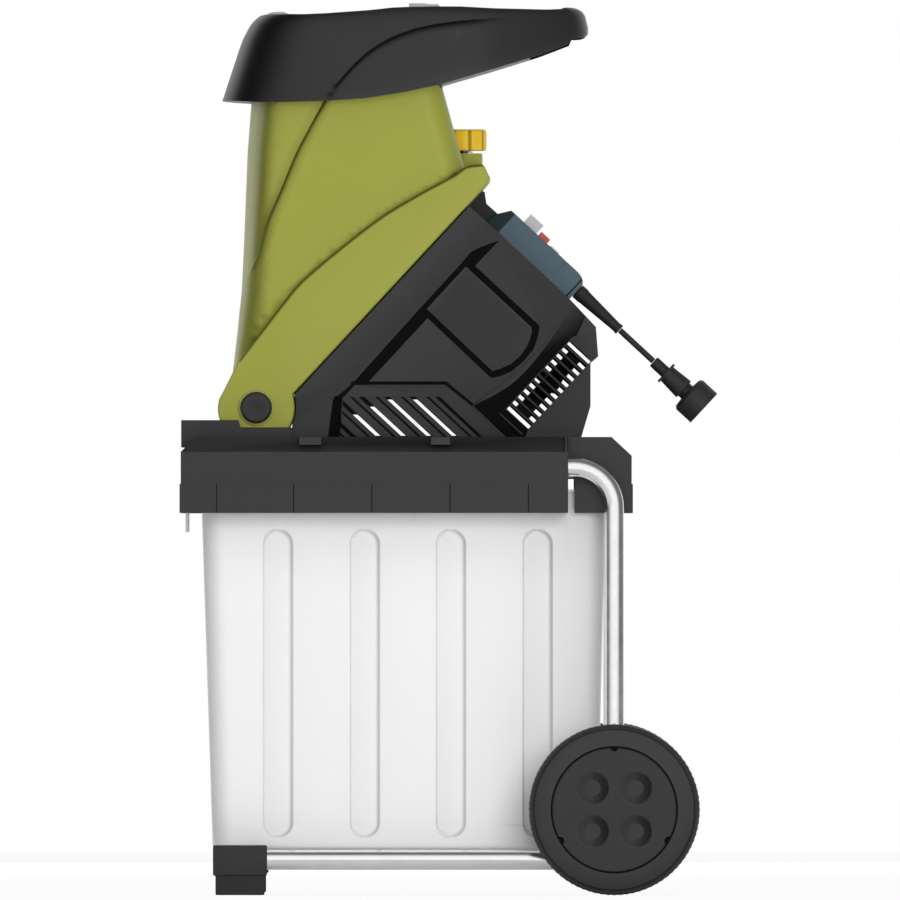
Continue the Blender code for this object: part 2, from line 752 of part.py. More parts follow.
def bin_ring(inset, z, depth):
    """A ring of the box's wall at height z, set in by an amount, with its flutes pushed in by depth."""
    share = (z - BIN_BOTTOM_Z) / (BIN_TOP_Z - BIN_BOTTOM_Z)
    x0 = BIN_X_BOTTOM[0] + share * (BIN_X_TOP[0] - BIN_X_BOTTOM[0]) + inset
    x1 = BIN_X_BOTTOM[1] + share * (BIN_X_TOP[1] - BIN_X_BOTTOM[1]) - inset
    w = BIN_HALF_WIDTH_BOTTOM + share * (BIN_HALF_WIDTH_TOP - BIN_HALF_WIDTH_BOTTOM) - inset
    corner = BIN_CORNER - inset
    half = FLUTE_WIDTH / 2
    side = []
    for middle in FLUTE_X:
        side += [
            (middle - half, 0), (middle - 0.6 * half, depth), (middle + 0.6 * half, depth),
            (middle + half, 0),
        ]
    points = []
    corners = [(x1 - corner, w - corner, 0), (x0 + corner, w - corner, 90)]
    corners += [(x0 + corner, corner - w, 180), (x1 - corner, corner - w, 270)]
    for i, (cx, cy, start) in enumerate(corners):
        points += [(px, py, z) for px, py in arc(cx, cy, corner, start, start + 90, 4)]
        if i == 0:
            points += [(x, w - push, z) for x, push in side[::-1]]
        if i == 2:
            points += [(x, push - w, z) for x, push in side]
    return points


def build_bin():
    """The collection box: tapered walls with four flutes a side, a rim, and a pull lip at the front."""
    carrier = empty("bin_slide", Matrix.Translation((0, 0, BIN_BOTTOM_Z)))
    low, high = FLUTE_Z
    levels = [(BIN_BOTTOM_Z, 0.006, 0.0), (BIN_BOTTOM_Z + 0.006, 0.0, 0.0), (low, 0.0, 0.0)]
    levels += [(low + 0.012, 0.0, FLUTE_DEPTH), (high - 0.014, 0.0, FLUTE_DEPTH), (high, 0.0, 0.0)]
    body = loft("bin", [bin_ring(i, z, d) for z, i, d in levels + [(BIN_TOP_Z, 0.0, 0.0)]])
    rim = BIN_RIM
    x0, x1 = BIN_X_TOP[0] - rim, BIN_X_TOP[1] + rim
    w = BIN_HALF_WIDTH_TOP + rim
    corner = BIN_CORNER + rim
    rings = [rounded_ring(x0, x1, w, corner, z) for z in (BIN_TOP_Z - BIN_WALL, BIN_TOP_Z)]
    join(body, loft("rim", rings))
    lip = [
        (x0 - 0.0115, 0.3628), (x0 - 0.0085, 0.3628), (x0 - 0.0085, BIN_TOP_Z - 0.010),
        (x0 + 0.008, BIN_TOP_Z - 0.010),
        (x0 + 0.008, BIN_TOP_Z - 0.0065), (x0 - 0.0115, BIN_TOP_Z - 0.0065),
    ]
    join(body, prism("lip", lip, -0.075, 0.075))
    wall = BIN_WALL
    inner = [
        (BIN_BOTTOM_Z + wall, wall + 0.006, 0.0), (BIN_BOTTOM_Z + 0.006 + wall, wall, 0.0),
        (low, wall, 0.0),
    ]
    inner += [(low + 0.012, wall, FLUTE_DEPTH), (high - 0.014, wall, FLUTE_DEPTH), (high, wall, 0.0)]
    cavity = [bin_ring(i, z, d) for z, i, d in inner + [(BIN_TOP_Z + 0.01, wall, 0.0)]]
    cut(body, loft("cavity", cavity))
    return finish(body, "clear_plastic", carrier)


# Hopper, hood and knob


def slab(name, u, n, half_width):
    """A block square to the parting plane, from u[0] to u[1] along it and n[0] to n[1] away from it."""
    outline = [slant(u[0], n[0]), slant(u[1], n[0]), slant(u[1], n[1]), slant(u[0], n[1])]
    return prism(name, outline, -half_width, half_width)


def metres(*points):
    """Turns (x, z) points in millimetres into metres."""
    return [(x / 1000, z / 1000) for x, z in points]


COLUMN_FRONT = metres(
    (520.5, -208), (564.8, -202.7), (604.8, -198.7), (644.8, -196.7), (744.8, -192.7), (796.8, -188.7), (840, -186))
BAND_CREASE = metres(
    (-201.9, 532.8), (-178.7, 563.2), (-158, 589.8), (-137.7, 614.2), (-96.8, 648.8), (-56, 679.8),
    (-15.2, 704),
    (15.4, 720.3), (24.2, 729))
SIDE_CREASE = metres(
    (-201.9, 532.8), (-200.9, 550.8), (-197.9, 589.8), (-190.7, 618.3), (-180.7, 642.8), (-172.7, 671.8),
    (-158, 706), (-141.7, 744.8), (-113.8, 796.5), (-104, 808))
HOOD_UNDER = metres(
    (-218.2, 795.2), (-162, 793), (-73.7, 797), (1.35, 811), (100.4, 840.3), (132.1, 852.3),
)
HOOD_END = metres(
    (132.1, 856.8), (149, 856.8), (148.9, 864.8), (146, 878.8), (140.8, 886), (134, 888.3),
    (127.4, 886.8),
)
HOOD_TOP = metres(
    (55.4, 886.8), (-8.7, 888.8), (-44.7, 888.2), (-119.7, 882), (-176.7, 881.4), (-184.4, 877.5),
)
HOOD_FRONT = metres((-194, 864.2), (-198.6, 855))


def column_back(z):
    """Where the column's back wall is at a height."""
    return KNOB_X - 0.276 * (z - BAND_ROOF_Z)


def column(name, inset):
    """The column's outside, set in by an amount."""
    rings = []
    for z, front in COLUMN_FRONT:
        corner = HOPPER_CORNER - inset
        rings.append(
            rounded_ring(front + inset, column_back(z) - inset, HOPPER_HALF_WIDTH - inset, corner, z)
        )
    return loft(name, rings)


def hood_block(name, grow):
    """The hood's outside as one block, grown downwards by an amount."""
    under = [(x, z - grow) for x, z in HOOD_UNDER]
    block = prism(name, under + HOOD_END + HOOD_TOP + HOOD_FRONT, -HOOD_HALF_WIDTH, HOOD_HALF_WIDTH)
    w, rear = HOOD_HALF_WIDTH, HOOD_REAR_HALF_WIDTH
    plan = [
        (-0.2195, w - 0.028), (-0.205, w - 0.008), (-0.185, w), (0.020, w), (0.060, w - 0.010),
        (0.125, rear + 0.008),
    ]
    plan += [(0.145, rear - 0.004), (0.152, rear - 0.018)]
    plan += [(x, -y) for x, y in plan[::-1]]
    return keep(block, loft("plan", [[(x, y, z) for x, y in plan] for z in (0.75, 0.95)]))


def build_hopper():
    """The green column with its side panels, band, hinge ears, knob boss and throat plate."""
    body = column("hopper", 0.0)
    lip = (LIP_X, LIP_Z)
    front_low = (COLUMN_FRONT[0][1], COLUMN_FRONT[0][0])
    cut(body, prism("beyond", [slant(-0.2, 0), slant(0.6, 0), (0.4, 0.3)], -0.2, 0.2))
    panel = SIDE_CREASE + [(column_back(0.811) + 0.01, 0.811)] + BAND_CREASE[:0:-1]
    panel = prism("panel", panel, -HOPPER_HALF_WIDTH - HOPPER_PANEL, HOPPER_HALF_WIDTH + HOPPER_PANEL)
    join(body, keep(panel, column("panel_limit", -HOPPER_PANEL)))
    w = BAND_HALF_WIDTH
    ear = arc(
        HINGE_X, HINGE_Z, EAR_RADIUS, math.degrees(math.atan2(LIP_Z - HINGE_Z, LIP_X - HINGE_X)),
        -180, 16,
    )
    ear += metres((-214.2, 508.1), (-208, 520.5))
    top = metres((42.4, 730.8), (45, 728.8), (48.2, 721.8), (51.4, 715.5), (44.35, 707.2))
    band = BAND_CREASE + top + [lip] + ear[1:]
    join(body, prism("band", band, -w, w))
    inner = HINGE_LUG_Y[1] + RUNNING_GAP
    below = [front_low, lip, (LIP_X + 0.05, 0.40), (-0.30, 0.40), (-0.30, front_low[1])]
    cut(body, prism("below", below, -inner, inner))
    cavity = column("cavity", HOPPER_WALL)
    wall = HOPPER_WALL
    floor = [
        (-0.3, front_low[1] + wall), (front_low[0], front_low[1] + wall), (LIP_X, LIP_Z + wall),
        (LIP_X, 0.3),
    ]
    cut(cavity, prism("floor", floor + [(-0.3, 0.3)], -0.2, 0.2))
    cut(
        cavity,
        prism(
            "throat_plate", [slant(-0.2, -THROAT_PLATE), slant(0.6, -THROAT_PLATE), (0.4, 0.3)],
            -0.2, 0.2,
        ),
    )
    knob = upright_axis(KNOB_X, 0, 0)
    niche = KNOB_RADIUS + RUNNING_GAP
    niche_top = KNOB_Z[1] + KNOB_LIFT + 2 * RUNNING_GAP
    cut(cavity, rod("niche_wall", niche + wall, 0.66, niche_top + wall, 24, knob))
    cut(body, cavity)
    cut(body, rod("niche", niche, BAND_ROOF_Z + 0.0018, niche_top, 24, knob))
    join(body, rod("boss", BOSS_RADIUS, BAND_ROOF_Z - 0.002, BOSS_TOP_Z, 24, knob))
    cut(body, slab("window", WINDOW_U, (-0.01, 0.01), WINDOW_HALF_WIDTH))
    nut_top = BOLT_TIP_Z - GAP
    cut(body, rod("nut_pocket", NUT_BOSS_RADIUS + RUNNING_GAP, 0.65, nut_top + RUNNING_GAP, 24, knob))
    cut(body, rod("bolt_hole", KNOB_BOLT_RADIUS + GAP, nut_top, BOSS_TOP_Z + 0.01, 16, knob))
    hinge = across_axis(HINGE_X, HINGE_Z)
    for side in (-1, 1):
        reach = sorted((side * (w - 0.002), side * (w + 0.0035)))
        join(body, rod("hinge_boss", HINGE_BOSS_RADIUS, reach[0], reach[1], 24, hinge))
    cut(body, rod("hinge_hole", HINGE_PIN_RADIUS + GAP, -0.15, 0.15, 16, hinge))
    cut(body, hood_block("hood_seat", GAP))
    return body


def build_hood(carrier):
    """The black feed hood: a wide mouth, a collar that sits in the column, and a hand grip at the back."""
    body = hood_block("hood", 0.0)
    wall = HOOD_WALL
    w = HOOD_HALF_WIDTH - wall
    grip = GRIP_X[0] - wall
    mouth = metres((-213.5, 799), (-195.6, 855), (-191, 863), (-182, 874), (-176, 877))
    mouth += [
        (-0.165, 0.95), (grip - wall, 0.95), (grip - wall, 0.8412), (0.00135, 0.8142),
        (-0.0737, 0.8002),
    ]
    mouth += metres((-162, 796.2))
    cavity = prism("mouth", mouth, -w, w)
    plan = [
        (-0.2160, w - 0.027), (-0.203, w - 0.007), (-0.185, w), (0.020, w), (0.060, w - 0.0105),
        (0.0915, w - 0.0275),
    ]
    plan += [(x, -y) for x, y in plan[::-1]]
    keep(cavity, loft("plan", [[(x, y, z) for x, y in plan] for z in (0.75, 0.97)]))
    cut(body, cavity)
    under = metres(
        (94, 800), (150, 800), (145.2, 857), (145, 864), (142.5, 877), (138.5, 883), (134, 885),
        (94, 883.6),
    )
    hollow = prism("under_grip", under, -w, w)
    rear = HOOD_REAR_HALF_WIDTH
    plan = [(0.090, rear + 0.018), (0.125, rear + 0.004), (0.143, rear - 0.007), (0.149, rear - 0.020)]
    plan += [(x, -y) for x, y in plan[::-1]]
    keep(hollow, loft("plan", [[(x, y, z) for x, y in plan] for z in (0.75, 0.97)]))
    cut(body, hollow)
    h = GRIP_HALF_WIDTH
    cut(body, box("grip", (GRIP_X[0] + 0.004, -h, 0.85), (GRIP_X[1], h, 0.95)))
    inset = HOPPER_WALL + GAP
    z0, z1 = 0.786, 0.812
    x0 = between(COLUMN_FRONT, z1) + inset
    x1 = column_back(z1) - inset
    collar = loft(
        "collar",
        [rounded_ring(x0, x1, HOPPER_HALF_WIDTH - inset, HOPPER_CORNER - inset, z) for z in (z0, z1)],
    )
    join(body, collar)
    inset = wall
    rings = []
    for z in (z0 - 0.01, z1 + 0.01):
        rings.append(
            rounded_ring(
                x0 + inset, x1 - inset, HOPPER_HALF_WIDTH - HOPPER_WALL - inset,
                HOPPER_CORNER - 2 * inset, z,
            )
        )
    cut(body, loft("bore", rings))
    ledge = GUARD_Z[0] - GAP
    for side in (-1, 1):
        ys = sorted((side * (w + 0.001), side * (w - 0.008)))
        join(body, box("ledge", (-0.12, ys[0], ledge - 0.004), (0.02, ys[1], ledge)))
    return finish(body, "black_plastic", carrier)


def build_guard(carrier):
    """The grey guard in the mouth: a plate with two openings, a bridge and a rest at the front."""
    w = HOOD_HALF_WIDTH - HOOD_WALL - GAP
    low, high = GUARD_Z
    x0, x1 = -0.178, 0.062
    body = box("guard", (x0, -w + 0.012, low), (x1, w - 0.012, high))
    join(body, box("wings", (-0.11, -w, low), (0.01, w, high)))
    for x, top in ((GUARD_BRIDGE_X, GUARD_BRIDGE_TOP_Z), (GUARD_REST_X, GUARD_REST_TOP_Z)):
        slope = 0.006
        outline = [
            (x[0], low), (x[1], low), (x[1], top - 0.008), (x[1] - slope, top), (x[0] + slope, top),
            (x[0], top - 0.008),
        ]
        join(body, prism("bridge", outline, -0.085, 0.085))
    edge = 0.010
    for start, stop in ((GUARD_REST_X[1], GUARD_BRIDGE_X[0]), (GUARD_BRIDGE_X[1], x1)):
        cut(
            body,
            box("opening", (start + 0.003, -w + 0.03, low - 0.01), (stop - edge, w - 0.03, high + 0.03)),
        )
    for x, top in ((GUARD_BRIDGE_X, GUARD_BRIDGE_TOP_Z), (GUARD_REST_X, GUARD_REST_TOP_Z)):
        cut(body, box("hollow", (x[0] + 0.003, -0.082, low - 0.01), (x[1] - 0.003, 0.082, top - 0.008)))
    return finish(body, "grey_plastic", carrier)


def build_knob(carrier):
    """The yellow clamping knob, its bolt, and the washer under it."""
    lift = empty("knob_lift", upright_axis(KNOB_X, 0, BOSS_TOP_Z))
    lift.parent = carrier
    lift.matrix_parent_inverse = carrier.matrix_world.inverted()
    bpy.context.view_layer.update()
    turn = empty("knob_turn", upright_axis(KNOB_X, 0, KNOB_Z[0]))
    turn.parent = lift
    turn.matrix_parent_inverse = lift.matrix_world.inverted()
    bpy.context.view_layer.update()
    low, high = KNOB_Z
    axis = upright_axis(KNOB_X, 0, 0)
    steps = 4 * KNOB_LOBES
    rings = []
    for z, size in ((low, 0.93), (low + 0.003, 1.0), (high - 0.004, 1.0), (high, 0.88)):
        ring_points = []
        for i in range(steps):
            turned = 2 * math.pi * i / steps
            radius = KNOB_RADIUS * size * (0.955 + 0.045 * math.cos(KNOB_LOBES * turned))
            ring_points.append((KNOB_X + radius * math.cos(turned), radius * math.sin(turned), z))
        rings.append(ring_points)
    body = loft("knob", rings)
    cut(body, rod("socket", 0.0065 + GAP, low - 0.001, low + 0.012, 12, axis))
    finish(body, "yellow_plastic", turn)
    profile = [(0, BOLT_TIP_Z), (KNOB_BOLT_RADIUS, BOLT_TIP_Z), (KNOB_BOLT_RADIUS, low - 0.0005)]
    profile += [(0.0065, low - 0.0005), (0.0065, low + 0.0115), (0, low + 0.0115)]
    finish(spun("knob_bolt", profile, 12, axis), "blade_steel", turn)
    washer_top = low - 0.0005 - GAP
    washer = ring("knob_washer", KNOB_BOLT_RADIUS + GAP, 0.009, washer_top - 0.0008, washer_top, 16, axis)
    finish(washer, "black_plastic", lift)


def hinge_pin(name, side):
    """A shoulder pin that the hopper turns on, with a round head that has a dimple."""
    start = across_axis(HINGE_X, HINGE_Z) @ Matrix.Rotation(0 if side > 0 else math.pi, 4, "X")
    inner = HINGE_LUG_Y[0] - 0.004
    face = BAND_HALF_WIDTH + 0.0035 + GAP
    r = HINGE_HEAD_RADIUS
    profile = [
        (0, inner), (HINGE_PIN_RADIUS, inner), (HINGE_PIN_RADIUS, face), (r, face),
        (r, face + 0.002),
    ]
    profile += [(r - 0.0025, face + 0.004), (0.0035, face + 0.0045), (0, face + 0.003)]
    return finish(spun(name, profile, 20, start), "black_plastic")


# Cutter housing and covers


def split_line(extra):
    """Where the cutter housing ends and the motor cover starts, from top to bottom."""
    line = [
        slant(u, n + extra)
        for u, n in ((HOUSING_TOP_U, 0.138), (0.230, 0.147), (0.208, 0.150), (0.165, 0.148), (0.114, 0.139))
    ]
    return line + [(0.066 + extra, BASE_TOP_Z + GAP)]


def build_housing():
    """The black housing: cutter chamber, chip chute, bulkhead, motor bay, louvres and grooves."""
    bottom = BASE_TOP_Z + GAP
    top = HOUSING_TOP_U
    w = HOUSING_HALF_WIDTH
    outline = [slant(0, PARTING_GAP), (LIP_X - 0.0017, bottom)] + split_line(0)[::-1]
    outline[-1] = slant(top, 0.138)
    outline.append(slant(top, PARTING_GAP))
    body = prism("cutter_housing", outline, -w, w)
    lug = [
        (top + LUG_RISE, PARTING_GAP), (top + LUG_RISE, 0.003), (top + 0.66 * LUG_RISE, 0.012),
        (top, 0.0235), (top - 0.02, 0.0235),
        (top - 0.02, PARTING_GAP),
    ]
    join(body, prism("lug", [slant(u, n) for u, n in lug], -LUG_HALF_WIDTH, LUG_HALF_WIDTH))
    knob = upright_axis(KNOB_X, 0, 0)
    nut_top = BOLT_TIP_Z - GAP
    join(body, rod("nut_boss", NUT_BOSS_RADIUS, nut_top - NUT_DEPTH - 0.006, nut_top - 0.0002, 24, knob))
    wall = HOUSING_WALL
    axis = cutter_axis(BLADE_U)
    cut(body, rod("chamber", CHAMBER_RADIUS, -0.005, CHAMBER_DEPTH, 48, axis))
    x0, x1 = CHUTE_X
    chute = [
        (x0, 0.45), (x1, 0.45), (x1, 0.495), slant(0.044, CHAMBER_DEPTH - 0.002),
        slant(0.1, CHAMBER_DEPTH - 0.002),
    ]
    chute += [slant(0.1, 0.0055), slant(0.006, 0.0055), (x0, 0.495)]
    cut(body, prism("chute", chute, -CHUTE_HALF_WIDTH, CHUTE_HALF_WIDTH))
    for side in (-1, 1):
        ys = sorted((side * (HINGE_LUG_Y[1]), side * (w + 0.01)))
        cut(body, rod("ear_gap", EAR_RADIUS + RUNNING_GAP, *ys, 48, across_axis(HINGE_X, HINGE_Z)))
    join(
        body,
        rod(
            "bearing_boss", SPINDLE_BEARING[1] + 0.006, CHAMBER_DEPTH - 0.006,
            CHAMBER_DEPTH + 0.001, 24, axis,
        ),
    )
    behind = CHAMBER_DEPTH + BULKHEAD
    bay = [slant(top - wall, behind), slant(0.040, behind), (-0.094, 0.490), (-0.094, bottom + wall)]
    bay += [(0.20, bottom + wall), slant(top - wall, 0.25)]
    cut(body, prism("bay", bay, wall - w, w - wall))
    cut(
        body,
        rod("bearing_seat", SPINDLE_BEARING[1] + GAP, CHAMBER_DEPTH - 0.003, behind + 0.01, 24, axis),
    )
    cut(body, rod("spindle_hole", SPINDLE_RADIUS + 0.0035, CHAMBER_DEPTH - 0.02, behind + 0.01, 16, axis))
    cut(body, rod("nut_seat", NUT_RADIUS + GAP, nut_top - NUT_DEPTH - GAP, nut_top + 0.01, 6, knob))
    for side in (-1, 1):
        ys = sorted((side * (w - GROOVE_DEPTH), side * (w + 0.01)))
        along = [slant(0.052, 0.0405), slant(top - 0.011, 0.0400)]
        cut(body, prism("groove", strip(along, 0.0065), *ys))
        loop = [slant(u, n) for u, n in ring_groove()]
        ys_inner = (ys[0] - 0.01, ys[1] + 0.01)
        sizes = sorted((GROOVE_WIDTH / 2, -GROOVE_WIDTH / 2))
        loops = sorted(
            (offset_loop(loop, size) for size in sizes),
            key=lambda points: min(x for x, z in points),
        )
        tool = prism("groove", loops[0], *ys)
        cut(tool, prism("island", loops[1], *ys_inner))
        cut(body, tool)
        ys = sorted((side * (w - 0.002), side * (w + 0.01)))
        ledge = metres((-98, 450), (-98, 511), (4.8, 511), (32.4, 490), (70, 450))
        cut(body, prism("ledge", ledge, *ys))
        ys = sorted((side * (w - 0.009), side * (w + 0.01)))
        cut(body, box("leg_gap", (-0.1055, ys[0], 0.45), (-0.0985, ys[1], 0.499)))
        ys = sorted((side * (w - 0.0035), side * (w + 0.01)))
        cut(
            body,
            prism("louvre", metres((-93.5, 467), (-93.5, 497), (0, 497), (36, 463), (-90, 463)), *ys),
        )
        ys = sorted((side * (w - 0.03), side * (w + 0.01)))
        for i in range(LOUVRE_SLOTS):
            foot_x = LOUVRE_FIRST_X + i * LOUVRE_PITCH
            rise = min(0.0330, 0.0185 + 0.0078 * i)
            lean = math.tan(SLANT)
            low_z = bottom + wall + 0.0007
            line = [(foot_x - lean * (low_z - 0.4598), low_z), (foot_x - lean * rise, 0.4598 + rise)]
            cut(body, prism("slot", strip(line, LOUVRE_SLOT_WIDTH), *ys))
    return finish(body, "black_plastic")


def ring_groove():
    """Middle line of each side's closed groove as (u, n) points: a slot with one end rounded."""
    u0, u1, n0, n1 = 0.1515, 0.2105, 0.0445, 0.130
    middle = (u0 + u1) / 2
    return [
        (u0, n0), (u1, n0), (u1, n1), (u1 - 0.008, n1 + 0.0095), (middle, n1 + 0.0135),
        (u0 + 0.008, n1 + 0.0095), (u0, n1),
    ]


def build_cover():
    """The black cover over the motor's end, with a barred vent in each side."""
    bottom = BASE_TOP_Z + GAP
    w = COVER_HALF_WIDTH
    end = metres((142.4, 459.8), (151, 488.8), (151, 532.3), (158.7, 538.8), (156.4, 568.1))
    outline = split_line(GAP) + [(0.1419, bottom)] + end
    body = prism("motor_cover", outline, -w, w)
    wall = COVER_WALL
    inner = [slant(HOUSING_TOP_U - wall, 0.100), slant(HOUSING_TOP_U - wall, 0.139)]
    inner += metres(
        (152.4, 566.4), (154.5, 540.6), (147, 534.2), (147, 489.4),
    ) + [(0.1395, bottom + wall)]
    inner += [(0.0, bottom + wall), (0.0, 0.5)]
    cut(body, prism("inside", inner, wall - w, w - wall))
    (u0, u1), (n0, n1) = VENT_U, VENT_N
    gap = (u1 - u0 - VENT_BARS * VENT_BAR_WIDTH) / (VENT_BARS + 1)
    for i in range(VENT_BARS + 1):
        start = u0 + i * (gap + VENT_BAR_WIDTH)
        cut(body, slab("vent", (start, start + gap), (n0, n1), 0.2))
    return finish(body, "black_plastic")


# Cutter, gears and motor


def gear_outline(teeth, phase):
    """Outline of a spur gear: straight-sided teeth with some backlash."""
    radius = MODULE * teeth / 2
    root, tip = radius - 1.2 * MODULE, radius + 0.9 * MODULE
    step = 2 * math.pi / teeth
    points = []
    for i in range(teeth):
        for part, r in ((-0.31, root), (-0.11, tip), (0.11, tip), (0.31, root)):
            turned = (i + part) * step + phase
            points.append((r * math.cos(turned), r * math.sin(turned)))
    return points


def build_cutter(carrier):
    """Spindle, disc, two blades with two screws each, nut and gear, all on one axis."""
    axis = cutter_axis(BLADE_U)
    r = SPINDLE_RADIUS
    face, back = DISC_N, DISC_N + DISC_THICKNESS
    end = GEAR_N[1] + 0.002 + BEARING_WIDTH
    profile = [
        (0, face - 0.006), (r - 0.0015, face - 0.006), (r - 0.0015, back + GAP),
        (0.014, back + GAP),
    ]
    profile += [(0.014, back + 0.004), (r, back + 0.004), (r, end), (0, end)]
    finish(spun("spindle", profile, 16, axis), "blade_steel", carrier)
    disc = ring("blade_disc", r - 0.0015 + GAP, DISC_RADIUS, face, back, 48, axis)
    length, width, thick = BLADE_SIZE
    middle = DISC_RADIUS - 0.004 - length / 2
    screws = (middle - 0.018, middle + 0.018)
    for k, turned in ((1, 0.0), (2, math.pi)):
        spot = axis @ Matrix.Rotation(turned, 4, "Z")
        flat = [(middle - length / 2, -width / 2), (middle + length / 2, -width / 2)]
        flat += [(middle + length / 2, width / 2), (middle - length / 2, width / 2)]
        blade = plate(f"cutting_blade_{k}", flat, spot, face - thick - GAP, face - GAP)
        slot = [
            (middle - length / 2 + 0.002, width / 2 + 0.002),
            (middle + length / 2 - 0.006, width / 2 + 0.002),
        ]
        slot += [
            (middle + length / 2 - 0.006, width / 2 + 0.012),
            (middle - length / 2 + 0.002, width / 2 + 0.012),
        ]
        cut(disc, plate("slot", slot, spot, face - 0.01, back + 0.01))
        for j, where in enumerate(screws):
            place = spot @ Matrix.Translation((where, 0, 0))
            front = face - thick - GAP
            wide = 0.0048
            sink = [(0, front - 0.002), (wide + GAP, front - 0.002), (wide + GAP, front + 0.0005)]
            sink += [(0.0025 + GAP, front + 0.0028), (0.0025 + GAP, face + 0.02), (0, face + 0.02)]
            cut(blade, spun("hole", sink, 10, place))
            cut(disc, rod("hole", 0.0025 + GAP, face - 0.02, face + 0.02, 10, place))
            screw = [
                (0, front + 0.0003), (wide, front + 0.0003), (wide, front + 0.0006),
                (0.0025, front + 0.003),
            ]
            screw += [(0.0025, back - 0.0005), (0, back - 0.0005)]
            finish(spun(f"blade_screw_{2 * k + j - 1}", screw, 10, place), "blade_steel", carrier)
        finish(blade, "blade_steel", carrier)
    finish(disc, "blade_steel", carrier)
    finish(
        hex_nut("spindle_nut", r - 0.0015 + GAP, 0.012, face - 0.0053, face - GAP, axis),
        "blade_steel", carrier,
    )
    gear = plate("drive_gear", gear_outline(GEAR_TEETH, 0.0), axis, *GEAR_N)
    cut(gear, rod("bore", r + GAP, GEAR_N[0] - 0.01, GEAR_N[1] + 0.01, 16, axis))
    finish(gear, "blade_steel", carrier)


def build_motor(carrier):
    """Motor shaft with its pinion, armature, commutator and fan, and the fixed pieces round them."""
    axis = cutter_axis(MOTOR_U)
    r = MOTOR_SHAFT_RADIUS
    shaft = rod("motor_shaft", r, GEAR_N[0], FAN_N[1] + 0.002, 16, axis)
    pinion = plate(
        "pinion", gear_outline(PINION_TEETH, math.pi / PINION_TEETH), axis, GEAR_N[0], GEAR_N[1],
    )
    join(shaft, pinion)
    finish(shaft, "blade_steel", carrier)
    finish(
        ring("armature", r + GAP, ROTOR_RADIUS, STATOR_N[0] - 0.001, STATOR_N[1] + 0.001, 24, axis),
        "copper", carrier,
    )
    finish(ring("commutator", r + GAP, COMMUTATOR_RADIUS, *COMMUTATOR_N, 24, axis), "copper", carrier)
    (n0, n1), plate_top = FAN_N, FAN_N[0] + 0.002
    profile = [
        (r + GAP, n0), (FAN_RADIUS, n0), (FAN_RADIUS, plate_top), (0.011, plate_top), (0.011, n1),
        (r + GAP, n1),
    ]
    fan = spun("cooling_fan", profile, 28, axis)
    for i in range(FAN_BLADES):
        turned = 2 * math.pi * i / FAN_BLADES
        vane = [
            (0.0105, -0.001), (FAN_RADIUS - 0.001, -0.001), (FAN_RADIUS - 0.001, 0.001),
            (0.0105, 0.001),
        ]
        spot = axis @ Matrix.Rotation(turned, 4, "Z")
        join(fan, plate("vane", vane, spot, plate_top - 0.001, n1 - 0.0005))
    finish(fan, "black_plastic", carrier)

    back = GEAR_N[1] + 0.0015
    case_end = back + BEARING_WIDTH + 0.003
    case_start = CHAMBER_DEPTH + BULKHEAD + GAP
    spindle_axis = cutter_axis(BLADE_U)
    gear_reach = MODULE * (GEAR_TEETH / 2 + 0.9) + RUNNING_GAP
    pinion_reach = MODULE * (PINION_TEETH / 2 + 0.9) + RUNNING_GAP
    step = 0.001
    case = rod("gear_case", gear_reach + 0.004, case_start, case_end - step, 32, spindle_axis)
    join(case, rod("motor_end", MOTOR_CAN[1], case_start + step, case_end, 32, axis))
    cut(case, rod("gear_space", gear_reach, case_start - 0.01, back - GAP, 32, spindle_axis))
    cut(case, rod("pinion_space", pinion_reach, case_start - 0.01, back, 16, axis))
    cut(
        case,
        rod(
            "spindle_seat", SPINDLE_BEARING[1] + GAP, back - 0.001, back + BEARING_WIDTH + 2 * GAP,
            24, spindle_axis,
        ),
    )
    cut(
        case,
        rod(
            "motor_seat", MOTOR_BEARING[1] + GAP, case_end - BEARING_WIDTH - GAP, case_end + 0.01,
            24, axis,
        ),
    )
    cut(case, rod("shaft_hole", r + 0.0015, case_start, case_end, 16, axis))
    finish(case, "cast_aluminium")

    start = CHAMBER_DEPTH - 0.003 + GAP
    finish(
        ring("spindle_bearing_front", *SPINDLE_BEARING, start, start + BEARING_WIDTH, 24, spindle_axis),
        "blade_steel",
    )
    start = back + GAP
    finish(
        ring("spindle_bearing_back", *SPINDLE_BEARING, start, start + BEARING_WIDTH, 24, spindle_axis),
        "blade_steel",
    )
    finish(
        ring("motor_bearing_front", *MOTOR_BEARING, case_end - BEARING_WIDTH, case_end, 24, axis),
        "blade_steel",
    )

    bore, radius = MOTOR_CAN
    end = MOTOR_CAN_END_N
    can = rod("motor_can", radius, case_end + GAP, end, 32, axis)
    cut(can, rod("inside", bore, case_end - 0.01, end - CAN_END_WALL, 32, axis))
    seat = end - CAN_END_WALL + BEARING_WIDTH + 2 * GAP
    cut(can, rod("seat", MOTOR_BEARING[1] + GAP, end - CAN_END_WALL - 0.001, seat, 24, axis))
    cut(can, rod("shaft_hole", r + 0.0015, case_end, end + 0.01, 16, axis))
    finish(can, "black_plastic")
    start = end - CAN_END_WALL + GAP
    finish(
        ring("motor_bearing_back", *MOTOR_BEARING, start, start + BEARING_WIDTH, 24, axis),
        "blade_steel",
    )
    finish(ring("stator", ROTOR_RADIUS + 0.0008, bore - GAP, *STATOR_N, 32, axis), "blade_steel")
    low, high = COMMUTATOR_N[0] + 0.002, COMMUTATOR_N[1] - 0.002
    for word, side in (("left", -1), ("right", 1)):
        ys = sorted((side * (COMMUTATOR_RADIUS + GAP), side * (bore - 0.0008)))
        half = 0.004
        flat = [(-half, ys[0]), (half, ys[0]), (half, ys[1]), (-half, ys[1])]
        finish(plate(f"brush_{word}", flat, axis, low, high), "brass")


# Switch box, cord and plug


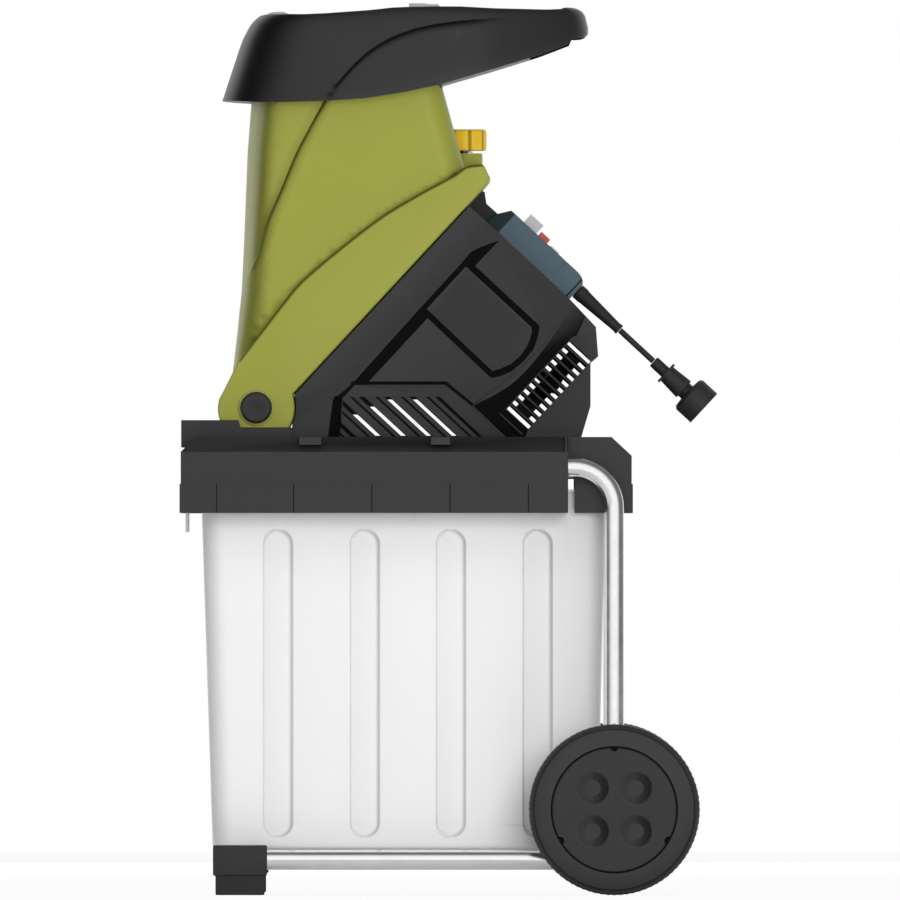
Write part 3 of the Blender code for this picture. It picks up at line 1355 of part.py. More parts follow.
def build_switch_box():
    """The blue-grey box on the housing, in two halves, with the switch and its three buttons."""
    low, high = BOX_LOW_U, BOX_TOP_U
    w = BOX_HALF_WIDTH
    front, seam = BOX_N
    wall = BOX_WALL
    outline = [
        (low, front - 0.001), (low + 0.012, front), (high, front + 0.009), (high, seam),
        (low, seam),
    ]
    body = prism("switch_box", [slant(u, n) for u, n in outline], -w, w)
    inner = [
        (low + wall, front + 0.005), (high - wall, front + 0.010), (high - wall, seam + 0.01),
        (low + wall, seam + 0.01),
    ]
    cut(body, prism("inside", [slant(u, n) for u, n in inner], wall - w, w - wall))
    end = BOX_END_N
    outline = [
        (low, seam + GAP), (high, seam + GAP), (high, end - 0.012), (high - 0.001, end - 0.006),
        (high - 0.0035, end - 0.002),
    ]
    outline += [(high - 0.006, end), (low, end)]
    rear = prism("switch_box_end", [slant(u, n) for u, n in outline], -w, w)
    inner = [
        (low + wall, seam - 0.01), (high - wall, seam - 0.01), (high - wall, end - 0.012),
        (high - 0.0065, end - wall),
    ]
    inner += [(low + wall, end - wall)]
    cut(rear, prism("inside", [slant(u, n) for u, n in inner], wall - w, w - wall))
    cut(rear, rod("cord_hole", 0.0057 + GAP, end - 0.01, end + 0.01, 16, cutter_axis(CORD_U)))
    finish(rear, "blue_plastic")

    module_top = low + wall + 0.010
    module = slab(
        "switch_module", (low + wall + GAP, module_top), (front + 0.016, seam - 0.006),
        w - wall - 0.012,
    )
    finish(module, "black_plastic")
    half = BUTTON_HALF_WIDTH
    buttons = (
        ("start_button", START_BUTTON_N, 0.011, 0.0035, "grey_plastic"),
        ("stop_button", STOP_BUTTON_N, 0.0052, 0.0035, "red_plastic"),
        ("reset_button", RESET_BUTTON_N, 0.0015, 0.0012, "grey_plastic"),
    )
    for name, (n0, n1), proud, travel, material in buttons:
        cut(body, slab("button_hole", (high - 0.01, high + 0.01), (n0 - GAP, n1 + GAP), half + GAP))
        carrier = empty(f"{name}_press", cutter_axis(high))
        foot = module_top + travel + GAP
        button = slab(name, (foot, high + proud), (n0, n1), half)
        join(button, slab("flange", (foot, high - wall - GAP), (n0 - 0.0009, n1 + 0.0009), half + 0.0012))
        finish(button, material, carrier)
    finish(body, "blue_plastic")


def build_cord():
    """The strain relief, the short cord, and the inlet plug on its end."""
    axis = cutter_axis(CORD_U)
    start, stop = RELIEF_N
    wall_in, wall_out = BOX_END_N - BOX_WALL - GAP, BOX_END_N + GAP
    profile = [(0, wall_in - 0.0025), (0.0068, wall_in - 0.0025), (0.0068, wall_in), (0.0057, wall_in)]
    profile += [
        (0.0057, wall_out), (0.008, wall_out), (0.008, start + 0.008), (0.0048, stop - 0.003),
        (0.0053, stop - 0.003),
    ]
    profile += [(0.0053, stop), (0, stop)]
    finish(spun("strain_relief", profile, 16, axis), "rubber")

    length = PLUG_N - stop - 2 * GAP
    count = 4
    line = bpy.data.curves.new("cord", "CURVE")
    line.dimensions = "3D"
    line.bevel_depth = CORD_DIAMETER / 2
    line.bevel_resolution = 3
    line.use_fill_caps = True
    spline = line.splines.new("POLY")
    spline.points.add(count - 1)
    for i, point in enumerate(spline.points):
        here = axis @ Vector((0, 0, stop + GAP + length * i / (count - 1)))
        point.co = (*here, 1.0)
    cord = bpy.data.objects.new("cord", line)
    bpy.context.scene.collection.objects.link(cord)
    line.materials.append(paint("rubber"))

    n = PLUG_N
    drum = n + 0.0465
    end = n + 0.069
    profile = [
        (0, n), (0.0055, n), (0.006, n + 0.0015), (0.006, n + 0.0165), (0.0092, n + 0.0165),
        (0.011, n + 0.041),
    ]
    profile += [
        (0.0085, n + 0.0415), (0.0085, drum - 0.001), (0.0175, drum), (0.0198, drum + 0.003),
        (0.0198, end),
    ]
    profile += [(0.0168, end), (0.0168, drum + 0.006), (0, drum + 0.006)]
    plug = spun("plug", profile, 24, axis)
    ears = [(-0.01175, -0.007), (0.01175, -0.007), (0.01175, 0.007), (-0.01175, 0.007)]
    join(plug, plate("ears", ears, axis, n + 0.0160, n + 0.0185))
    for i, y in ((1, -0.0064), (2, 0.0064)):
        flat = [
            (-0.0035, y - 0.00075), (0.0035, y - 0.00075), (0.0035, y + 0.00075),
            (-0.0035, y + 0.00075),
        ]
        grown = [(-0.0035 - GAP, y - 0.00075 - GAP), (0.0035 + GAP, y - 0.00075 - GAP)]
        grown += [(0.0035 + GAP, y + 0.00075 + GAP), (-0.0035 - GAP, y + 0.00075 + GAP)]
        cut(plug, plate("pin_slot", grown, axis, drum + 0.002, drum + 0.01))
        finish(plate(f"plug_blade_{i}", flat, axis, drum + 0.002 + GAP, end - 0.002), "brass")
    finish(plug, "rubber")


def build():
    """Builds the whole machine."""
    clear_scene()
    build_frame()
    build_base()
    build_bin()
    mirrored(hinge_pin, ("hinge_pin_left", "hinge_pin_right"))
    hopper_axis = empty("hopper_hinge", across_axis(HINGE_X, HINGE_Z))
    finish(build_hopper(), "green_plastic", hopper_axis)
    build_hood(hopper_axis)
    build_guard(hopper_axis)
    counter = slab("counter_blade", (WINDOW_U[0] - 0.013, WINDOW_U[0] - 0.001), (GAP, 0.0033), 0.036)
    finish(counter, "blade_steel", hopper_axis)
    build_knob(hopper_axis)
    nut_top = BOLT_TIP_Z - GAP
    nut = hex_nut(
        "latch_nut", KNOB_BOLT_RADIUS + GAP, NUT_RADIUS, nut_top - NUT_DEPTH, nut_top,
        upright_axis(KNOB_X, 0, 0),
    )
    finish(nut, "brass")
    build_housing()
    build_cover()
    build_cutter(empty("blade_spin", cutter_axis(BLADE_U)))
    build_motor(empty("motor_spin", cutter_axis(MOTOR_U)))
    build_switch_box()
    build_cord()


build()
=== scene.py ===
"""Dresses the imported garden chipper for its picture: finer shapes, finishes, floor, lights and camera.

Every length is in metres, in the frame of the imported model: +Z is up, the feed column is at -X, the wheels
are at +X, and Y runs across the machine.
"""

import json
import logging
import math
from dataclasses import dataclass
from enum import Enum
from typing import Callable, Iterable, Sequence

import bmesh
import bpy
from mathutils import Matrix, Vector


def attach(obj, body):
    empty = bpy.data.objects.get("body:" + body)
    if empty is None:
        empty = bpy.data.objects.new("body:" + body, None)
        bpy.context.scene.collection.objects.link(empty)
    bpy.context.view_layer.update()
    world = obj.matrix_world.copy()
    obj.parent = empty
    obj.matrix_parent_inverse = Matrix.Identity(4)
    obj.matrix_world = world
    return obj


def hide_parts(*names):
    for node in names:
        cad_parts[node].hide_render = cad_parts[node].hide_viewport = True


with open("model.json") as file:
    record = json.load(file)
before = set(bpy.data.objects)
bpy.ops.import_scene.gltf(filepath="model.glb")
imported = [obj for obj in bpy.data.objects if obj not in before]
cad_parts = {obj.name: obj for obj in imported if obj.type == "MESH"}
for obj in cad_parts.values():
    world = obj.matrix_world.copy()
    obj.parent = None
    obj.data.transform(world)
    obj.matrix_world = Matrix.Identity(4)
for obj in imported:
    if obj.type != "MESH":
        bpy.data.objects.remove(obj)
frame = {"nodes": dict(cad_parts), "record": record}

logging.basicConfig(level=logging.INFO, format="%(name)s: %(message)s")
LOG = logging.getLogger("chipper")

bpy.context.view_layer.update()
Point = tuple[float, float]
Place = tuple[float, float, float]
Ring = list[Vector]
Sockets = bpy.types.bpy_prop_collection
Socket = bpy.types.NodeSocket
Shape = bmesh.types.BMesh

# The parting plane's lip and lean, the hinge and the wheels' axis, as (x, z) of the side view.
LIP = (-0.1467, 0.5009)
SLANT = math.radians(47.17)
HINGE = (-0.1836, 0.4872)
WHEEL_AXIS = (0.1744, 0.0855)

SIDES = (-1, 1)
MIDDLE_Z = 0.4474
WHITE = (1.0, 1.0, 1.0, 1.0)
# How much of its colour a surface keeps where shade is painted on it.
PAINTED_SHADE_SHARE = 0.36
# Name of each piece's attribute that holds its painted shade, over 0, and its painted highlight, under 0.
PAINTED_LIGHT_ATTRIBUTE = "painted_shade_and_highlight"
PLASTIC_GROUP = "MouldedSurface"
METAL_GROUP = "DrawnMetal"


class Slot(Enum):
    """The record's material slots."""

    GREEN = "green_plastic"
    BLACK = "black_plastic"
    BLUE = "blue_plastic"
    YELLOW = "yellow_plastic"
    GREY = "grey_plastic"
    RED = "red_plastic"
    CLEAR = "clear_plastic"
    TUBE = "tube_steel"
    BLADE = "blade_steel"
    CAST = "cast_aluminium"
    COPPER = "copper"
    BRASS = "brass"
    RUBBER = "rubber"


class Body(Enum):
    """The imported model's bodies that the named pieces ride on."""

    MACHINE = "machine"
    HOPPER = "hopper"
    KNOB = "knob"
    WHEEL_LEFT = "wheel_left"
    WHEEL_RIGHT = "wheel_right"
    BIN = "bin"


def body_of_node() -> dict[str, str]:
    """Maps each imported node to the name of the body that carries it."""
    groups = frame["record"]["behaviour"]["bodies"]
    return {node: body for body, nodes in groups.items() for node in nodes}


def slot_of_node() -> dict[str, Slot]:
    """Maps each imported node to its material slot."""
    return {entry["node"]: Slot(entry["material_slot"]) for entry in frame["record"]["subparts"]}


# Node trees


class Wiring:
    """Adds nodes to a tree and joins their sockets."""

    def __init__(self, tree: bpy.types.NodeTree) -> None:
        """Takes a tree.

        Args:
            tree: the tree to wire.
        """
        self.tree = tree

    def add(self, kind: str, inputs: dict | None = None, **settings: object) -> bpy.types.Node:
        """Adds a node.

        Args:
            kind: the node's type.
            inputs: what each of its inputs gets, by name or number.
            settings: its properties.

        Returns:
            The node.
        """
        made = self.tree.nodes.new(kind)
        for name, value in settings.items():
            setattr(made, name, value)
        self.feed(made, inputs or {})
        return made

    def feed(self, node: bpy.types.Node, inputs: dict) -> None:
        """Sets a node's inputs: a socket is joined to one, and anything else becomes its value.

        Args:
            node: the node.
            inputs: what each input gets, by name or number.
        """
        for name, value in inputs.items():
            if isinstance(value, Socket):
                self.tree.links.new(value, node.inputs[name])
            else:
                node.inputs[name].default_value = value

    def math(self, operation: str, *values: float | Socket, clamp: bool = False) -> Socket:
        """Adds a sum.

        Args:
            operation: what it works out.
            values: what it works on, in order.
            clamp: True to keep the result between 0 and 1.

        Returns:
            The result.
        """
        inputs = dict(enumerate(values))
        return self.add("ShaderNodeMath", inputs, operation=operation, use_clamp=clamp).outputs[0]

    def mix(self, factor: Socket, low: object, high: object) -> Socket:
        """Blends two colours.

        Args:
            factor: the share of the second.
            low: the first, as a socket or a value.
            high: the second, as a socket or a value.

        Returns:
            The blend.
        """
        return self.add("ShaderNodeMix", {0: factor, 6: low, 7: high}, data_type="RGBA").outputs[2]

    def noise(self, scale: float | Socket, detail: float) -> Socket:
        """Adds a noise that is fixed to the piece.

        Args:
            scale: how many waves to a metre.
            detail: how many finer layers it has.

        Returns:
            The noise, from 0 to 1.
        """
        where = self.add("ShaderNodeTexCoord").outputs["Object"]
        return self.add("ShaderNodeTexNoise", {"Vector": where, "Scale": scale, "Detail": detail}).outputs["Fac"]

    def bump(self, height: Socket, strength: Socket, reach: float) -> Socket:
        """Adds a bump.

        Args:
            height: the socket that gives the height.
            strength: the socket that gives the strength.
            reach: how far the surface seems to move.

        Returns:
            The bumped normal.
        """
        inputs = {"Height": height, "Strength": strength, "Distance": reach}
        return self.add("ShaderNodeBump", inputs).outputs["Normal"]


def shader_group(
    name: str, inputs: dict[str, float], outputs: dict[str, str]
) -> tuple[Wiring, bpy.types.Node, bpy.types.Node]:
    """Starts a shader group.

    Args:
        name: its name.
        inputs: its Float inputs with their defaults.
        outputs: its outputs with their kinds, Float or Vector.

    Returns:
        Its wiring, its first node and its last node.
    """
    tree = bpy.data.node_groups.new(name, "ShaderNodeTree")
    for label, value in inputs.items():
        made = tree.interface.new_socket(name=label, in_out="INPUT", socket_type="NodeSocketFloat")
        made.default_value = value
    for label, kind in outputs.items():
        tree.interface.new_socket(name=label, in_out="OUTPUT", socket_type=f"NodeSocket{kind}")
    wire = Wiring(tree)
    return wire, wire.add("NodeGroupInput"), wire.add("NodeGroupOutput")


def moulded_group() -> None:
    """Makes the shared effect of moulded plastic: a fine grain, a slow cloud of tone and lighter convex edges."""
    wire, start, end = shader_group(
        PLASTIC_GROUP,
        {"Grain size": 1800.0, "Grain depth": 0.25, "Cloud size": 6.0, "Edge width": 0.5},
        {"Normal": "Vector", "Tone": "Float", "Ridge": "Float", "Speckle": "Float"},
    )
    given = start.outputs
    grain = wire.noise(given["Grain size"], 2.0)
    pointed = wire.add("ShaderNodeNewGeometry").outputs["Pointiness"]
    limit = wire.math("MULTIPLY_ADD", given["Edge width"], 0.12, 0.52)
    edge = wire.add("ShaderNodeMapRange", {"Value": pointed, "From Min": 0.5, "From Max": limit, "To Max": 1.0})
    wire.feed(end, {
        "Normal": wire.bump(grain, given["Grain depth"], 0.0004),
        "Tone": wire.noise(given["Cloud size"], 3.0),
        "Ridge": edge.outputs["Result"],
        "Speckle": grain,
    })


def drawn_group() -> None:
    """Makes the shared effect of drawn or ground metal: fine streaks and a mottled sheen."""
    wire, start, end = shader_group(
        METAL_GROUP, {"Streaks": 0.3, "Base roughness": 0.2}, {"Normal": "Vector", "Rough": "Float", "Tone": "Float"}
    )
    broad = wire.noise(60.0, 4.0)
    wire.feed(end, {
        "Normal": wire.bump(wire.noise(900.0, 3.0), start.outputs["Streaks"], 0.0002),
        "Rough": wire.math("MULTIPLY_ADD", broad, 0.18, start.outputs["Base roughness"]),
        "Tone": broad,
    })


# Finishes


def rgba(colour: Sequence[float], share: float = 1.0) -> tuple[float, ...]:
    """Scales a colour by a share, up to white, and makes it opaque."""
    return (*[min(1.0, share * c) for c in colour], 1.0)


@dataclass(frozen=True)
class Finish:
    """What every finish shares.

    Attributes:
        slot: the record's material slot that it stands for.
        colour: the main colour, in linear light.
    """

    slot: Slot
    colour: Place

    def start(
        self, group: str, settings: dict[str, float]
    ) -> tuple[bpy.types.Material, Wiring, bpy.types.Node, Sockets]:
        """Makes the material with its shared effect.

        Args:
            group: the effect's shader group.
            settings: the inputs of the group.

        Returns:
            The material, its wiring, its Principled shader and the effect's outputs.
        """
        made = bpy.data.materials.new(f"{self.slot.value}_finish")
        made.use_nodes = True
        made.diffuse_color = rgba(self.colour)
        LOG.info("finish %s", made.name)
        wire = Wiring(made.node_tree)
        effect = wire.add("ShaderNodeGroup", node_tree=bpy.data.node_groups[group])
        wire.feed(effect, settings)
        return made, wire, made.node_tree.nodes["Principled BSDF"], effect.outputs

    def tone(self, wire: Wiring, factor: Socket, dark: float, light: float) -> Socket:
        """Varies the main colour by a factor.

        Args:
            wire: the material's wiring.
            factor: the socket that gives 0 to 1.
            dark: how much of the colour is left at 0.
            light: how much there is at 1.

        Returns:
            The colour socket.
        """
        return wire.mix(factor, rgba(self.colour, dark), rgba(self.colour, light))

    def marks(self, wire: Wiring) -> tuple[Socket, Socket]:
        """Reads a piece's own painted-light attribute: over 0 where shade is painted into grooves, creases and
        corners, under 0 where a highlight is painted on thin edges.

        Args:
            wire: the material's wiring.

        Returns:
            The share of painted shade and the share of painted highlight.
        """
        mark = wire.add("ShaderNodeAttribute", attribute_name=PAINTED_LIGHT_ATTRIBUTE).outputs["Fac"]
        return wire.math("MULTIPLY", mark, 1.0, clamp=True), wire.math("MULTIPLY", mark, -1.0, clamp=True)

    def build(self) -> bpy.types.Material:
        """Makes the material."""
        raise NotImplementedError


@dataclass(frozen=True)
class Moulded(Finish):
    """Grained moulded plastic or rubber.

    Attributes:
        roughness: the shader's roughness.
        grain: how deep the grain is, 0 to 1.
        grain_size: how many grains to a metre.
        edge: colour that the convex edges lean to, in linear light; the painted highlight on thin edges takes a paler
            colour made from it.
        edge_share: how much of that colour the edges take.
        specular: the shader's specular level.
    """

    roughness: float = 0.5
    grain: float = 0.25
    grain_size: float = 1800.0
    edge: Place = (0.5, 0.5, 0.5)
    edge_share: float = 0.1
    specular: float = 0.5

    def build(self) -> bpy.types.Material:
        """Makes the material."""
        settings = {"Grain size": self.grain_size, "Grain depth": self.grain}
        made, wire, shader, effect = self.start(PLASTIC_GROUP, settings)
        # deep is the share of painted shade, pale the share of painted highlight.
        deep, pale = self.marks(wire)
        share = wire.math("MULTIPLY", effect["Ridge"], self.edge_share)
        edged = wire.mix(share, self.tone(wire, effect["Tone"], 0.93, 1.07), rgba(self.edge))
        # Painted highlight: thin edges marked below 0 take a pale colour made from the edge colour.
        bright = wire.mix(pale, edged, (*[0.3 + 0.5 * c for c in self.edge], 1.0))
        wire.feed(shader, {
            # Painted shade: marked grooves, creases and corners take a darker colour and turn metallic, which darkens
            # them further.
            "Base Color": wire.mix(deep, bright, rgba(self.colour, PAINTED_SHADE_SHARE)),
            "Metallic": deep,
            "Roughness": wire.math("MULTIPLY_ADD", effect["Speckle"], 0.08, self.roughness - 0.04),
            "Normal": effect["Normal"],
            "Specular IOR Level": self.specular,
        })
        return made


@dataclass(frozen=True)
class Milky(Finish):
    """Milky plastic that lets light through.

    Attributes:
        roughness: the shader's roughness.
        through: how much light passes, 0 to 1.
    """

    roughness: float = 0.35
    through: float = 0.25

    def build(self) -> bpy.types.Material:
        """Makes the material."""
        settings = {"Grain size": 900.0, "Grain depth": 0.12, "Cloud size": 4.0}
        made, wire, shader, effect = self.start(PLASTIC_GROUP, settings)
        plain = self.tone(wire, effect["Tone"], 0.98, 1.02)
        wire.feed(shader, {
            # Painted shade: the box's marked places take a darker colour.
            "Base Color": wire.mix(self.marks(wire)[0], plain, rgba(self.colour, PAINTED_SHADE_SHARE)),
            "Normal": effect["Normal"],
            "Roughness": self.roughness,
            "Transmission Weight": self.through,
            "IOR": 1.3,
        })
        return made


@dataclass(frozen=True)
class Metal(Finish):
    """Plated, ground, cast or wound metal.

    Attributes:
        roughness: the smallest roughness.
        streaks: how strong the drawn streaks are.
    """

    roughness: float = 0.15
    streaks: float = 0.15

    def build(self) -> bpy.types.Material:
        """Makes the material."""
        settings = {"Streaks": self.streaks, "Base roughness": self.roughness}
        made, wire, shader, effect = self.start(METAL_GROUP, settings)
        wire.feed(shader, {
            "Base Color": self.tone(wire, effect["Tone"], 0.9, 1.05),
            "Roughness": effect["Rough"],
            "Normal": effect["Normal"],
            "Metallic": 1.0,
        })
        return made


FINISHES: tuple[Finish, ...] = (
    Moulded(Slot.GREEN, (0.290, 0.305, 0.036), 0.40, 0.15, 1500.0, (0.50, 0.52, 0.25), 0.12, 0.42),
    Moulded(Slot.BLACK, (0.0150, 0.0150, 0.0154), 0.42, 0.22, 1700.0, (0.10, 0.10, 0.10), 0.10, 0.36),
    Moulded(Slot.BLUE, (0.034, 0.070, 0.096), 0.42, 0.18, 1700.0, (0.20, 0.26, 0.30), 0.15),
    Moulded(Slot.YELLOW, (0.800, 0.510, 0.012), 0.33, 0.08, 1500.0, (0.95, 0.75, 0.25), 0.20),
    Moulded(Slot.GREY, (0.520, 0.530, 0.530), 0.40, 0.12, 1500.0, (0.75, 0.75, 0.75), 0.15),
    Moulded(Slot.RED, (0.520, 0.035, 0.020), 0.30, 0.06, 1500.0, (0.80, 0.30, 0.20), 0.15),
    Milky(Slot.CLEAR, (0.97, 0.97, 0.97), 0.38, 0.10),
    Metal(Slot.TUBE, (0.94, 0.94, 0.95), 0.06, 0.06),
    Metal(Slot.BLADE, (0.55, 0.55, 0.56), 0.22, 0.30),
    Metal(Slot.CAST, (0.58, 0.58, 0.59), 0.40, 0.60),
    Metal(Slot.COPPER, (0.70, 0.33, 0.17), 0.25, 0.40),
    Metal(Slot.BRASS, (0.75, 0.57, 0.25), 0.22, 0.20),
    Moulded(Slot.RUBBER, (0.0170, 0.0170, 0.0175), 0.55, 0.30, 1400.0, (0.08, 0.08, 0.08), 0.12, 0.4),
)


class Paintbox:
    """Makes each finish once and hands it out by slot."""

    def __init__(self, finishes: Iterable[Finish]) -> None:
        """Builds the shared groups and every finish.

        Args:
            finishes: the finishes to build.
        """
        moulded_group()
        drawn_group()
        self.made: dict[Slot, bpy.types.Material] = {finish.slot: finish.build() for finish in finishes}

    def __getitem__(self, slot: Slot) -> bpy.types.Material:
        """Finds the material of a slot."""
        return self.made[slot]

    def dress_nodes(self) -> None:
        """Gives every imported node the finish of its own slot."""
        slots = slot_of_node()
        for name, node in frame["nodes"].items():
            material = self[slots[name]]
            node.data.materials.clear()
            node.data.materials.append(material)
            node.data.shade_smooth()
            LOG.info("node %s takes %s", name, material.name)


# Pieces


def add_object(name: str, data: bpy.types.ID) -> bpy.types.Object:
    """Makes an object and puts it in the scene.

    Args:
        name: its name.
        data: its mesh, curve, lamp or camera.

    Returns:
        The object.
    """
    made = bpy.data.objects.new(name, data)
    bpy.context.scene.collection.objects.link(made)
    return made


def as_mesh(name: str, shape: Shape) -> bpy.types.Mesh:
    """Turns a mesh in the making into a mesh, and frees it."""
    mesh = bpy.data.meshes.new(name)
    shape.to_mesh(mesh)
    shape.free()
    return mesh


def add_bevel(thing: bpy.types.Object, width: float, steps: int, degrees: float) -> bpy.types.Modifier:
    """Rounds an object's sharp edges with a modifier.

    Args:
        thing: the object.
        width: the width of the rounded edges.
        steps: the number of faces across one.
        degrees: the angle over which an edge counts as sharp.

    Returns:
        The modifier.
    """
    edge = thing.modifiers.new("edges", "BEVEL")
    edge.width, edge.segments = width, steps
    edge.limit_method = "ANGLE"
    edge.angle_limit = math.radians(degrees)
    return edge


def node_copy(name: str) -> Shape:
    """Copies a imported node's mesh, with its loose triangles merged and its flat faces joined.

    Args:
        name: the node.

    Returns:
        The copy.
    """
    shape = bmesh.new()
    shape.from_mesh(frame["nodes"][name].data)
    bmesh.ops.remove_doubles(shape, verts=shape.verts, dist=2e-6)
    bmesh.ops.dissolve_limit(shape, angle_limit=math.radians(0.4), verts=shape.verts, edges=shape.edges)
    return shape


def settle(shape: Shape) -> None:
    """Merges a mesh's doubles and turns every face outwards, in place."""
    bmesh.ops.remove_doubles(shape, verts=shape.verts, dist=1e-6)
    bmesh.ops.recalc_face_normals(shape, faces=shape.faces)


class Maker:
    """Turns meshes into finished pieces that ride on their bodies."""

    def __init__(self, paints: Paintbox) -> None:
        """Keeps the finishes at hand.

        Args:
            paints: the finishes.
        """
        self.paints = paints
        self.bodies = body_of_node()
        self.slots = slot_of_node()
        self.replaced: set[str] = set()

    def piece(
        self,
        name: str,
        shape: Shape | bpy.types.Mesh,
        slot: Slot,
        body: str,
        replaces: str,
        crease: float = 32.0,
        rounding: float = 0.0,
        painted_shade_and_highlight: Callable[[Vector], float] | None = None,
    ) -> bpy.types.Object:
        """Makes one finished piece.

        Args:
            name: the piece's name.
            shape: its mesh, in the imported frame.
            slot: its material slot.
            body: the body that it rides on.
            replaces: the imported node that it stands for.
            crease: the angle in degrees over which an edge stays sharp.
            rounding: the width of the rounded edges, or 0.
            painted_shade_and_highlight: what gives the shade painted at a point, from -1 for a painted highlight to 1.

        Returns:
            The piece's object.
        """
        mesh = as_mesh(name, shape) if isinstance(shape, Shape) else shape
        made = add_object(name, mesh)
        mesh.materials.clear()
        mesh.materials.append(self.paints[slot])
        mesh.shade_smooth()
        mesh.set_sharp_from_angle(angle=math.radians(crease))
        if painted_shade_and_highlight is not None:
            self.mark(mesh, painted_shade_and_highlight)
        if rounding > 0.0:
            add_bevel(made, rounding, 2, crease).harden_normals = True
        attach(made, body)
        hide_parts(replaces)
        self.replaced.add(replaces)
        LOG.info("piece %s rides on %s, %d faces", name, body, len(mesh.polygons))
        return made

    def mark(self, mesh: bpy.types.Mesh, painted_shade_and_highlight: Callable[[Vector], float]) -> None:
        """Writes the attribute of a mesh that holds its painted shade and painted highlight, corner by corner.

        Args:
            mesh: the mesh.
            painted_shade_and_highlight: what gives the shade painted at a point, from -1 for a painted highlight to 1.
        """
        marks = mesh.attributes.new(PAINTED_LIGHT_ATTRIBUTE, "FLOAT", "CORNER")
        for face in mesh.polygons:
            for loop in face.loop_indices:
                point = mesh.vertices[mesh.loops[loop].vertex_index].co
                marks.data[loop].value = painted_shade_and_highlight(point.lerp(face.center, 0.1))

    def refine(self, node: str, rounding: float) -> bpy.types.Object:
        """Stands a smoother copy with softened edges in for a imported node.

        Args:
            node: the node.
            rounding: the width of the rounded edges, or 0.

        Returns:
            The piece's object.
        """
        name, shape = f"{node}_skin", node_copy(node)
        return self.piece(name, shape, self.slots[node], self.bodies[node], node, rounding=rounding)


# Studio


